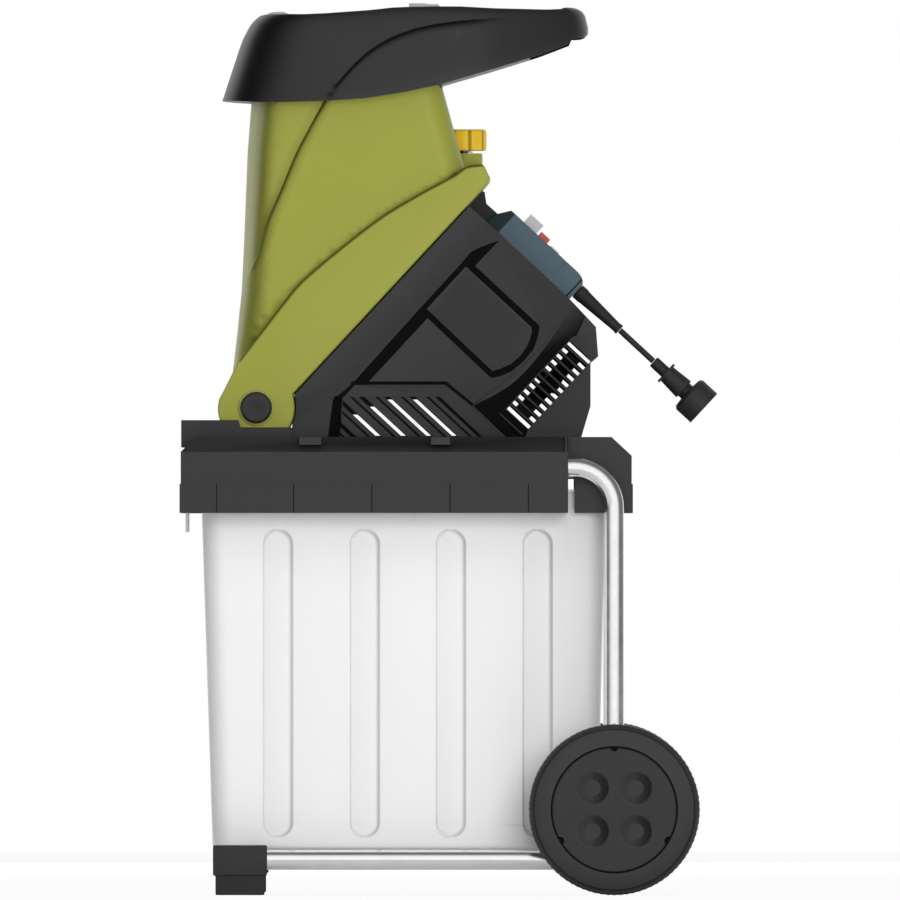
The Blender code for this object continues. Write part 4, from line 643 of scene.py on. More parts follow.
@dataclass
class Studio:
    """Floor, lamps, surroundings and camera.

    Attributes:
        distance: from the camera to the near side of the machine.
        lens: the camera's focal length in millimetres.
        centre: the middle of the picture, across and up.
        width: what the picture spans at the machine's near side.
        camera_z: the height of the camera.
        near_y: the plane that the picture's scale is true on.
        ambient: the strength of the soft light from all round.
        flag: how bright the sides, top and bottom of the room look in gloss.
        lamps: each lamp's name, place, size and power in watts.
    """

    distance: float = 42.0
    lens: float = 1680.0
    centre: Point = (0.01035, 0.4448)
    width: float = 0.9
    camera_z: float = 0.335
    near_y: float = -0.15
    ambient: float = 0.40
    flag: float = 0.16
    lamps: tuple[tuple[str, Place, float, float], ...] = (
        ("key_lamp", (0.9, -4.0, 0.9), 2.4, 104.0),
        ("left_lamp", (-3.4, -1.0, 1.4), 2.0, 12.0),
        ("right_lamp", (3.4, 0.6, 1.4), 2.0, 14.0),
        ("back_lamp", (-0.6, 4.0, 1.2), 2.4, 70.0),
    )

    def face(self, thing: bpy.types.Object, target: Place) -> None:
        """Turns a lamp or the camera towards a point."""
        aim = Vector(target) - thing.location
        thing.rotation_euler = aim.to_track_quat("-Z", "Y").to_euler()

    def place_camera(self) -> None:
        """Puts the camera as the photograph's, square to the machine's side and looking up very slightly."""
        data = bpy.data.cameras.new("camera")
        camera = add_object("camera", data)
        data.sensor_width = self.width * self.lens / self.distance
        data.lens = self.lens
        data.clip_start, data.clip_end = 10.0, 100.0
        camera.location = (self.centre[0], self.near_y - self.distance, self.camera_z)
        self.face(camera, (self.centre[0], self.near_y, self.centre[1]))
        bpy.context.scene.camera = camera

    def lay_floor(self) -> None:
        """Lays the pale floor that keeps the machine's shadow."""
        shape = bmesh.new()
        bmesh.ops.create_grid(shape, x_segments=8, y_segments=8, size=6.0)
        mesh = as_mesh("floor", shape)
        floor = add_object("floor", mesh)
        floor.location.z = -0.0005
        paper = bpy.data.materials.new("floor_paper")
        paper.use_nodes = True
        wire, nodes = Wiring(paper.node_tree), paper.node_tree.nodes
        shader = nodes["Principled BSDF"]
        wire.feed(shader, {"Base Color": (0.93, 0.93, 0.93, 1.0), "Roughness": 0.9, "Specular IOR Level": 0.1})
        share = wire.math("MULTIPLY", wire.add("ShaderNodeLightPath").outputs["Is Camera Ray"], 0.92)
        white = wire.add("ShaderNodeEmission")
        mix = wire.add("ShaderNodeMixShader", {0: share, 1: shader.outputs[0], 2: white.outputs[0]})
        wire.feed(nodes["Material Output"], {0: mix.outputs[0]})
        mesh.materials.append(paper)

    def surround(self) -> None:
        """Makes a white background, a soft light all round and, for gloss, a room brightest ahead and behind."""
        world = bpy.data.worlds.new("studio")
        bpy.context.scene.world = world
        world.use_nodes = True
        wire, nodes = Wiring(world.node_tree), world.node_tree.nodes
        ambient = nodes["Background"]
        wire.feed(ambient, {"Color": WHITE, "Strength": self.ambient})
        white = wire.add("ShaderNodeBackground", {"Color": WHITE, "Strength": 1.0})
        part = wire.add("ShaderNodeSeparateXYZ", {0: wire.add("ShaderNodeTexCoord").outputs["Generated"]})
        ends = {"From Min": 0.35, "From Max": 0.9, "To Min": self.flag, "To Max": 1.0}
        fall = wire.add("ShaderNodeMapRange", ends, interpolation_type="SMOOTHSTEP")
        wire.feed(fall, {"Value": wire.math("ABSOLUTE", part.outputs["Y"])})
        panels = wire.add("ShaderNodeBackground", {"Color": WHITE, "Strength": fall.outputs["Result"]})
        ray = wire.add("ShaderNodeLightPath").outputs
        seen = wire.math("MAXIMUM", ray["Is Camera Ray"], ray["Is Transmission Ray"])
        gloss = wire.add("ShaderNodeMixShader", {0: ray["Is Glossy Ray"], 1: ambient.outputs[0], 2: panels.outputs[0]})
        show = wire.add("ShaderNodeMixShader", {0: seen, 1: gloss.outputs[0], 2: white.outputs[0]})
        wire.feed(nodes["World Output"], {0: show.outputs[0]})

    def build(self) -> None:
        """Sets up the whole studio."""
        self.place_camera()
        self.lay_floor()
        self.surround()
        for name, place, size, power in self.lamps:
            data = bpy.data.lights.new(name, "AREA")
            data.size = size
            data.energy = power
            lamp = add_object(name, data)
            lamp.location = place
            self.face(lamp, (0.0, 0.0, MIDDLE_Z))
            lamp.visible_glossy = False
            lamp.visible_camera = False
        bpy.context.scene.view_settings.view_transform = "Standard"
        LOG.info("studio is up")


# Cord


@dataclass
class Cord:
    """The short mains lead between the strain relief and the plug.

    Attributes:
        start: where it leaves the strain relief.
        end: where it enters the plug.
        diameter: over its sheath.
        points: how many points its line has.
    """

    start: Place = (0.18082, 0.0, 0.56548)
    end: Place = (0.21449, 0.0, 0.53427)
    diameter: float = 0.006
    points: int = 16

    def length(self) -> float:
        """Measures the lead from end to end."""
        return (Vector(self.end) - Vector(self.start)).length

    def build(self, make: Maker) -> bpy.types.Object:
        """Makes the lead.

        Args:
            make: the maker of pieces.

        Returns:
            The lead.
        """
        data = bpy.data.curves.new("lead", "CURVE")
        data.dimensions = "3D"
        data.bevel_depth = self.diameter / 2
        data.bevel_resolution = 4
        data.use_fill_caps = True
        line = data.splines.new("POLY")
        line.points.add(self.points - 1)
        for index, point in enumerate(line.points):
            point.co = (*Vector(self.start).lerp(Vector(self.end), index / (self.points - 1)), 1.0)
        lead = add_object("lead", data)
        data.materials.append(make.paints[Slot.RUBBER])
        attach(lead, Body.MACHINE.value)
        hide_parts("cord")
        make.replaced.add("cord")
        LOG.info("lead is %.1f mm long", self.length() * 1000)
        return lead

    def declare(self) -> None:
        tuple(self.start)
        self.length()


# Shapes


class Caps(Enum):
    """How the ends of a skin are closed."""

    FAN = "one face"
    STRIPS = "strips across the middle line"
    LOOP = "the last ring joins the first"


def slant(u: float, n: float) -> Point:
    """Finds a point of the side view from the slanted frame of the cutter.

    Args:
        u: up along the parting plane from its lip.
        n: away from the hopper.

    Returns:
        The point as (x, z).
    """
    c, s = math.cos(SLANT), math.sin(SLANT)
    return LIP[0] + u * c + n * s, LIP[1] + u * s - n * c


def unslant(point: Vector) -> tuple[float, float]:
    """Finds where a point lies in the slanted frame of the cutter.

    Args:
        point: the point.

    Returns:
        How far it lies up along the parting plane, and away from the hopper.
    """
    x, z = point.x - LIP[0], point.z - LIP[1]
    c, s = math.cos(SLANT), math.sin(SLANT)
    return x * c + z * s, x * s - z * c


def slanted(*points: Sequence[float]) -> list[Point]:
    """Turns (u, n) points in millimetres into points of the side view in metres."""
    return [slant(u / 1000, n / 1000) for u, n in points]


def tile(u0: float, u1: float, n0: float, n1: float) -> list[Point]:
    """Draws a rectangle of the slanted frame in the side view."""
    return [slant(u, n) for u, n in ((u0, n0), (u1, n0), (u1, n1), (u0, n1))]


def sided(side: int, inner: float, outer: float) -> tuple[float, float]:
    """Orders two distances from the middle plane on one side, as (low y, high y)."""
    return (inner, outer) if side > 0 else (-outer, -inner)


def cutter_axis(u: float) -> Matrix:
    """Makes the frame of an axis square to the parting plane, in the middle of the machine.

    Args:
        u: where it stands along the plane.

    Returns:
        A matrix whose x runs up the plane and whose z runs away from the hopper.
    """
    x, z = slant(u, 0.0)
    c, s = math.cos(SLANT), math.sin(SLANT)
    return Matrix(((c, 0, s, x), (0, -1, 0, 0), (s, 0, -c, z), (0, 0, 0, 1)))


def across_axis(x: float, z: float, side: int) -> Matrix:
    """Makes the frame of an axis that points out of one side of the machine.

    Args:
        x: where it stands along the machine.
        z: its height.
        side: -1 for the near side and 1 for the far side.

    Returns:
        A matrix whose z points outwards and whose y points up.
    """
    return Matrix(((-side, 0, 0, x), (0, 0, side, 0), (0, 1, 0, z), (0, 0, 0, 1)))


def smooth_line(points: Sequence[Point], steps: int) -> list[Vector]:
    """Runs a smooth curve through points.

    Args:
        points: the points.
        steps: how many parts each stretch is divided into.

    Returns:
        The points of the curve.
    """
    given = [Vector(p) for p in points]
    last = len(given) - 1
    line = []
    for i in range(last):
        a, b, c, d = (given[min(max(i + k, 0), last)] for k in (-1, 0, 1, 2))
        for j in range(steps):
            t = j / steps
            line.append(
                0.5 * (2 * b + (c - a) * t + (2 * a - 5 * b + 4 * c - d) * t**2 + (3 * b - a - 3 * c + d) * t**3)
            )
    line.append(given[-1])
    return line


def angles(steps: int) -> list[float]:
    """Divides a full turn into equal steps, in radians."""
    return [2 * math.pi * i / steps for i in range(steps)]


def along(table: Sequence[Sequence[float]], x: float) -> float:
    """Reads a table of (x, value) rows, straight between its rows.

    Args:
        table: the rows, with x rising.
        x: where to read.

    Returns:
        The value.
    """
    if x <= table[0][0]:
        return table[0][1]
    for (x0, v0), (x1, v1) in zip(table, table[1:]):
        if x <= x1:
            return v0 + (v1 - v0) * (x - x0) / (x1 - x0)
    return table[-1][1]


def ramp(value: float, start: float, stop: float) -> float:
    """Rises smoothly from 0 at the start to 1 at the stop."""
    t = min(1.0, max(0.0, (value - start) / (stop - start)))
    return t * t * (3 - 2 * t)


def away(line: Sequence[Point], x: float, z: float) -> float:
    """Measures how far a point of the side view lies from a line.

    Args:
        line: the points of the line.
        x: where the point lies along the machine.
        z: its height.

    Returns:
        The shortest distance.
    """
    best = 1.0
    for (ax, az), (bx, bz) in zip(line, line[1:]):
        dx, dz = bx - ax, bz - az
        t = min(1.0, max(0.0, ((x - ax) * dx + (z - az) * dz) / max(1e-12, dx * dx + dz * dz)))
        best = min(best, math.hypot(x - ax - t * dx, z - az - t * dz))
    return best


def mm(*points: Sequence[float]) -> list[Point]:
    """Turns points in millimetres into metres."""
    return [tuple(v / 1000 for v in p) for p in points]


def belt(shape: Shape, low: Sequence[bmesh.types.BMVert], high: Sequence[bmesh.types.BMVert]) -> None:
    """Joins two rings of a mesh's corners with a belt of faces."""
    for i in range(len(low)):
        j = (i + 1) % len(low)
        shape.faces.new((low[i], low[j], high[j], high[i]))


def loft(rings: Sequence[Sequence[Sequence[float]]], caps: Caps = Caps.FAN) -> Shape:
    """Joins rings of points into a skin.

    Args:
        rings: the rings, each with the same number of points.
        caps: how the two ends are closed. Strips are for rings whose first point lies on the middle line.

    Returns:
        The mesh.
    """
    shape = bmesh.new()
    made = [[shape.verts.new(p) for p in ring] for ring in rings]
    pairs = list(zip(made, made[1:])) + ([(made[-1], made[0])] if caps is Caps.LOOP else [])
    count = len(made[0])
    for low, high in pairs:
        belt(shape, low, high)
    if caps is Caps.FAN:
        shape.faces.new(made[0][::-1])
        shape.faces.new(made[-1])
    if caps is Caps.STRIPS:
        for ring in (made[0], made[-1]):
            for i in range(count // 2):
                corners = [ring[i], ring[i + 1], ring[(count - i - 1) % count], ring[(count - i) % count]]
                shape.faces.new(list(dict.fromkeys(corners)))
    settle(shape)
    return shape


def prism(outline: Sequence[Point], y0: float, y1: float) -> Shape:
    """Makes a block with a side-view outline.

    Args:
        outline: the outline as (x, z) points.
        y0: its near face.
        y1: its far face.

    Returns:
        The mesh.
    """
    return loft([[(x, y, z) for x, z in outline] for y in (y0, y1)])


def block(low: Sequence[float], high: Sequence[float]) -> Shape:
    """Makes a block from its lowest and highest corners."""
    return prism([(low[0], low[2]), (high[0], low[2]), (high[0], high[2]), (low[0], high[2])], low[1], high[1])


def turned(profile: Sequence[Point], steps: int, frame_of: Matrix) -> Shape:
    """Turns a profile round an axis.

    Args:
        profile: (radius, height) points that start and end on the axis.
        steps: how many sides it gets.
        frame_of: the axis, along its z.

    Returns:
        The mesh.
    """
    shape = bmesh.new()
    rows = []
    for radius, height in profile:
        if radius <= 0.0:
            rows.append([shape.verts.new(frame_of @ Vector((0, 0, height)))])
            continue
        points = [Vector((radius * math.cos(t), radius * math.sin(t), height)) for t in angles(steps)]
        rows.append([shape.verts.new(frame_of @ p) for p in points])
    for low, high in zip(rows, rows[1:]):
        for i in range(steps):
            j = (i + 1) % steps
            corners = [low[i % len(low)], low[j % len(low)], high[j % len(high)], high[i % len(high)]]
            unique = list(dict.fromkeys(corners))
            if len(unique) > 2:
                shape.faces.new(unique)
    settle(shape)
    return shape


def ring_turned(profile: Sequence[Point], steps: int, frame_of: Matrix) -> Shape:
    """Turns a closed profile that stays clear of the axis into a ring.

    Args:
        profile: (radius, height) points of a closed outline.
        steps: how many sides it gets.
        frame_of: the axis, along its z.

    Returns:
        The mesh.
    """
    rings = [[frame_of @ Vector((r * math.cos(t), r * math.sin(t), h)) for r, h in profile] for t in angles(steps)]
    return loft(rings, Caps.LOOP)


def rod(radius: float, low: float, high: float, steps: int, frame_of: Matrix) -> Shape:
    """Makes a round bar along an axis, between two heights."""
    return turned([(0, low), (radius, low), (radius, high), (0, high)], steps, frame_of)


def tube(path: Sequence[Vector], radius: float, bore: float, sides: int = 40) -> Shape:
    """Runs a round tube along a path.

    Args:
        path: the points of its middle line.
        radius: its outer radius.
        bore: the radius of its bore.
        sides: how many sides it gets.

    Returns:
        The mesh.
    """
    rings = []
    start = (path[1] - path[0]).normalized()
    normal = Vector((0, 1, 0)) if abs(start.y) < 0.9 else Vector((0, 0, 1))
    for i, point in enumerate(path):
        ahead = (path[min(i + 1, len(path) - 1)] - path[max(i - 1, 0)]).normalized()
        normal = (normal - ahead * normal.dot(ahead)).normalized()
        rings.append((point, normal, ahead.cross(normal)))

    def at(size: float) -> list[Ring]:
        """Makes the rings of one radius."""
        return [[p + size * (math.cos(t) * a + math.sin(t) * b) for t in angles(sides)] for p, a, b in rings]

    return loft(at(radius) + at(bore)[::-1], Caps.LOOP)


class Solid:
    """A closed mesh in the making, which others are cut from, joined to or kept inside."""

    def __init__(self, shape: Shape) -> None:
        """Takes over a mesh.

        Args:
            shape: the closed mesh.
        """
        self.thing = add_object("solid", as_mesh("solid", shape))

    def change(self, other: Shape, how: str) -> "Solid":
        """Combines this solid with another mesh.

        Args:
            other: the other mesh, which is used up.
            how: DIFFERENCE, UNION or INTERSECT.

        Returns:
            This solid.
        """
        tool = Solid(other)
        step = self.thing.modifiers.new("step", "BOOLEAN")
        step.operation = how
        step.solver = "EXACT"
        step.object = tool.thing
        self.settle()
        tool.drop()
        return self

    def cut(self, other: Shape) -> "Solid":
        """Cuts a mesh away."""
        return self.change(other, "DIFFERENCE")

    def join(self, other: Shape) -> "Solid":
        """Adds a mesh."""
        return self.change(other, "UNION")

    def keep(self, other: Shape) -> "Solid":
        """Keeps only what lies in a mesh."""
        return self.change(other, "INTERSECT")

    def soften(self, width: float, steps: int, degrees: float) -> "Solid":
        """Rounds the sharp edges.

        Args:
            width: the width of the rounded edges.
            steps: the number of faces across one.
            degrees: the angle over which an edge counts as sharp.

        Returns:
            This solid.
        """
        add_bevel(self.thing, width, steps, degrees)
        self.settle()
        return self

    def settle(self) -> None:
        """Turns the modifiers' result into the solid's mesh."""
        graph = bpy.context.evaluated_depsgraph_get()
        mesh = bpy.data.meshes.new_from_object(self.thing.evaluated_get(graph))
        self.thing.modifiers.clear()
        old = self.thing.data
        self.thing.data = mesh
        bpy.data.meshes.remove(old)

    def drop(self) -> None:
        """Removes the solid."""
        mesh = self.thing.data
        bpy.data.objects.remove(self.thing)
        bpy.data.meshes.remove(mesh)

    def shape(self) -> Shape:
        """Hands the mesh over.

        Returns:
            The mesh, with its slivers merged.
        """
        made = bmesh.new()
        made.from_mesh(self.thing.data)
        bmesh.ops.remove_doubles(made, verts=made.verts, dist=2e-6)
        bmesh.ops.dissolve_degenerate(made, edges=made.edges, dist=2e-6)
        self.drop()
        return made


# Feed hood


@dataclass
class Hood:
    """The black feed hood: a domed skirt, an open mouth and a grip at its back, in metres.

    Attributes:
        PLAN: half of its outline from above, from the front to the back.
        UNDER: the height of its lower edge.
        RIM: the height of its upper edge.
        CREASE: the line on each side below which it stands proud.
        front_lean: how far its front leans back.
        side_lean: how far its sides lean in.
        rear_lean: how far its back leans in.
        proud: how far the part below the crease stands out.
        wall: its thickness.
    """

    PLAN = mm(
        (-218.2, 0), (-217.0, 42), (-213.4, 74), (-206.5, 97), (-195.5, 112.5), (-180, 123.5), (-158, 131.5),
        (-128, 136.4), (-96, 138), (-25, 138), (15, 136.5), (52, 130), (95, 110.5), (124, 93), (139, 79),
        (146.8, 60), (148.1, 34), (149, 0),
    )
    UNDER = mm(
        (-218.2, 795.2), (-190, 793.6), (-162, 793), (-118, 794.2), (-73.7, 797), (-36, 803), (1.35, 811),
        (50, 825), (100.4, 840.3), (132.1, 852.3), (132.2, 857.3), (141, 857.6), (145.5, 858.9), (149, 862.5),
    )
    RIM = mm(
        (-176.7, 881.4), (-150.7, 881.1), (-119.7, 882), (-68.7, 885.2), (-44.7, 888), (-8.7, 888.8),
        (20.4, 888.8), (55.4, 887), (108.4, 886), (127.4, 886.8), (134, 888.3),
    )
    CREASE = mm(
        (-119.5, 787), (-113.8, 796.5), (-102, 812), (-89.7, 826.5), (-78, 838), (-65.7, 847.9), (-46, 858.5),
        (-25.7, 866), (-6, 870.5), (14.9, 873.4), (35, 875.4), (55, 876.8), (76, 877.4), (110, 877.4),
    )
    front_lean: float = 0.0415
    side_lean: float = 0.009
    rear_lean: float = 0.015
    proud: float = 0.0016
    wall: float = 0.003

    GRIP_X = 0.0905
    GRIP_FRONT = 0.086
    COLLAR = (-0.1735, 0.0030, 0.1072)
    COLLAR_CORNER = 0.020
    COLLAR_WALL = 0.003
    TABS = ((-0.075, 0.1265, 0.8577), (0.02, 0.1355, 0.8617))
    ABOVE_RIM = 0.93
    BRIDGE = ((-31, 863), (-31, 885), (-25, 891.6), (-2, 891.6), (4.5, 885), (4.5, 863))
    REST = ((-172, 863), (-172, 882.2), (-166, 883.8), (-156, 883.8), (-152, 882), (-152, 863))
    HALF = 0.138
    FRONT_FROM = -0.06
    REAR_FROM = 0.09
    FRONT_SHAPE = ((0, 0), (0.694, 0.472), (0.8, 0.584), (0.896, 0.692), (0.955, 0.815), (0.99, 0.913), (1, 1))
    SIDE_SHAPE = ((0, 0), (0.6, 0.06), (0.8, 0.16), (0.9, 0.32), (0.96, 0.56), (0.99, 0.80), (1, 1))
    REAR_SHAPE = ((0, 0), (0.26, 0.01), (0.7, 0.2), (0.85, 0.36), (0.93, 0.55), (0.98, 0.8), (1, 1))
    STEPS_MM = (8.0, 5.0, 3.2, 2.0, 1.1, 0.5, 0.0)
    ABOVE = (0.04, 0.12, 0.25, 0.4, 0.55, 0.68, 0.78, 0.86, 0.92, 0.96, 0.985, 1.0)

    def outline(self) -> list[tuple[Vector, Vector]]:
        """Runs the plan smoothly all the way round.

        Returns:
            Each point with its outward direction.
        """
        half = smooth_line(self.PLAN, 6)
        round_it = half + [Vector((p.x, -p.y)) for p in half[-2:0:-1]]
        count = len(round_it)
        found = []
        for i, point in enumerate(round_it):
            ahead = (round_it[(i + 1) % count] - round_it[i - 1]).normalized()
            out = Vector((-ahead.y, ahead.x))
            if out.dot(point - Vector((-0.03, 0.0))) < 0:
                out = -out
            found.append((point, out))
        return found

    def skin(self, inset: float = 0.0, lift: float = 0.0, creased: bool = True) -> list[Ring]:
        """Makes the rings of the outside, from the lower edge to the rim.

        Args:
            inset: how far it lies inside the real outside.
            lift: how far its lower edge is raised.
            creased: True to make the lower part stand proud.

        Returns:
            The rings.
        """
        columns = []
        for point, out in self.outline():
            side = min(1.0, abs(point.y) / self.HALF) ** 2
            low = along(self.UNDER, point.x) + lift
            high = along(self.RIM, point.x)
            knee = along(self.CREASE, point.x)
            fade = min(1.0, max(0.0, (point.x + 0.125) / 0.01)) * min(1.0, max(0.0, (0.076 - point.x) / 0.05))
            fade *= side if creased and knee > low + 0.012 else 0.0
            knee = min(max(knee, low + 0.012), high - 0.009)
            heights = [low + (knee - 0.008 - low) * i / 5 for i in range(5)]
            heights += [max(low + 0.0005 * k, knee - s / 1000) for k, s in enumerate(self.STEPS_MM)]
            heights += [knee + (high - knee) * a for a in self.ABOVE]
            column = []
            for z in heights:
                h = (z - low) / (high - low)
                shoulder = 1.0 - (1.0 - min(1.0, max(0.0, knee - z) / 0.006)) ** 2
                inward = inset + (self.proud * side if creased else 0.0) - self.proud * fade * shoulder
                x, y = point - out * inward
                ahead = max(0.0, (self.FRONT_FROM - x) / (self.FRONT_FROM - self.PLAN[0][0]))
                behind = max(0.0, (x - self.REAR_FROM) / (self.PLAN[-1][0] - self.REAR_FROM))
                x += self.front_lean * along(self.FRONT_SHAPE, h) * ahead**2
                x -= self.rear_lean * along(self.REAR_SHAPE, h) * behind**2
                y -= self.side_lean * along(self.SIDE_SHAPE, h) * side * math.copysign(1.0, y)
                column.append(Vector((x, y, z)))
            columns.append(column)
        return [list(ring) for ring in zip(*columns)]

    def cavity(self) -> Shape:
        """Makes the open mouth, in front of the grip."""
        inner = self.skin(self.wall, 0.004, False)
        top = [Vector((p.x, p.y, self.ABOVE_RIM)) for p in inner[-1]]
        mouth = Solid(loft(inner[::2] + [inner[-1], top], Caps.STRIPS))
        return mouth.cut(block((self.GRIP_FRONT, -0.2, 0.7), (0.2, 0.2, 1.0))).shape()

    def hollow(self) -> Shape:
        """Makes the hollow under the grip, open below."""
        inner = self.skin(self.wall, 0.004, False)
        drop = [Vector((p.x, p.y, p.z - 0.03)) for p in inner[0]]
        lid = [Vector((p.x, p.y, p.z - self.wall)) for p in inner[-1]]
        under = Solid(loft([drop, *inner[:-4:2], lid], Caps.STRIPS))
        return under.cut(block((-0.4, -0.2, 0.7), (self.GRIP_X, 0.2, 1.0))).shape()

    def build(self, make: Maker) -> None:
        """Makes the hood and its guard.

        Args:
            make: the maker of pieces.
        """
        body = Solid(loft(self.skin(), Caps.STRIPS))
        body.cut(self.cavity())
        body.cut(self.hollow())
        body.cut(rounded_block(0.098, 0.119, 0.048, 0.009, 0.85, 0.95))
        (x0, x1, w), corner, wall = self.COLLAR, self.COLLAR_CORNER, self.COLLAR_WALL
        body.join(rounded_block(x0, x1, w, corner, 0.786, 0.812))
        body.cut(rounded_block(x0 + wall, x1 - wall, w - wall, corner - wall, 0.776, 0.822))
        (x0, inner, z0), (x1, outer, z1) = self.TABS
        for side in SIDES:
            low, high = sided(side, inner, outer)
            body.join(block((x0, low, z0), (x1, high, z1)))
        make.piece("feed_hood", body.shape(), Slot.BLACK, Body.HOPPER.value, "hood", 28.0, painted_shade_and_highlight=self.painted_shade_and_highlight)
        guard = Solid(node_copy("guard"))
        guard.join(prism(mm(*self.BRIDGE), -0.09, 0.09))
        guard.join(prism(mm(*self.REST), -0.09, 0.09))
        guard.cut(block((-0.05, -0.2, 0.8835), (-0.0308, 0.2, 0.90)))
        inside = self.skin(self.wall + 0.0004, 0.006, False)[::2]
        inside.append([Vector((p.x, p.y, self.ABOVE_RIM)) for p in inside[-1]])
        guard.keep(loft(inside, Caps.STRIPS))
        guard.soften(0.0008, 2, 40.0)
        make.piece("feed_guard", guard.shape(), Slot.GREY, Body.HOPPER.value, "guard", 30.0)

    def painted_shade_and_highlight(self, point: Vector) -> float:
        """Paints shade on the rounded front corners and along the line of the crease."""
        if abs(point.y) < 0.045:
            return 0.0
        low, high = along(self.UNDER, point.x), along(self.RIM, point.x)
        h = min(1.0, max(0.0, (point.z - low) / (high - low)))
        back = point.x - self.PLAN[0][0] - self.front_lean * along(self.FRONT_SHAPE, h)
        dark = 0.66 * ramp(back, 0.001, 0.006) * (1.0 - ramp(back, 0.022, 0.066))
        below = along(self.CREASE, point.x) - point.z
        if -0.1114 < point.x < 0.1 and -0.0002 < below < 0.009:
            fade = ramp(point.x, -0.118, -0.108) * (1.0 - ramp(point.x, 0.02, 0.075))
            dark = max(dark, 0.85 * fade * (1.0 - ramp(below, 0.0008, 0.0075)))
        return dark if abs(point.y) > 0.09 or back < 0.03 else 0.0


def rounded_plan(x0: float, x1: float, half: float, corner: float, z: float, steps: int = 8) -> Ring:
    """Makes a ring with round corners.

    Args:
        x0: its front.
        x1: its back.
        half: half of its width.
        corner: the radius of its corners.
        z: its height.
        steps: how many parts each corner is divided into.

    Returns:
        The ring.
    """
    ring = []
    for cx, cy, start in (
        (x1 - corner, half - corner, 0),
        (x0 + corner, half - corner, 90),
        (x0 + corner, corner - half, 180),
        (x1 - corner, corner - half, 270),
    ):
        for i in range(steps + 1):
            t = math.radians(start + 90 * i / steps)
            ring.append(Vector((cx + corner * math.cos(t), cy + corner * math.sin(t), z)))
    return ring


def rounded_block(x0: float, x1: float, half: float, corner: float, z0: float, z1: float) -> Shape:
    """Makes an upright block with round corners."""
    return loft([rounded_plan(x0, x1, half, corner, z) for z in (z0, z1)])


# Feed column


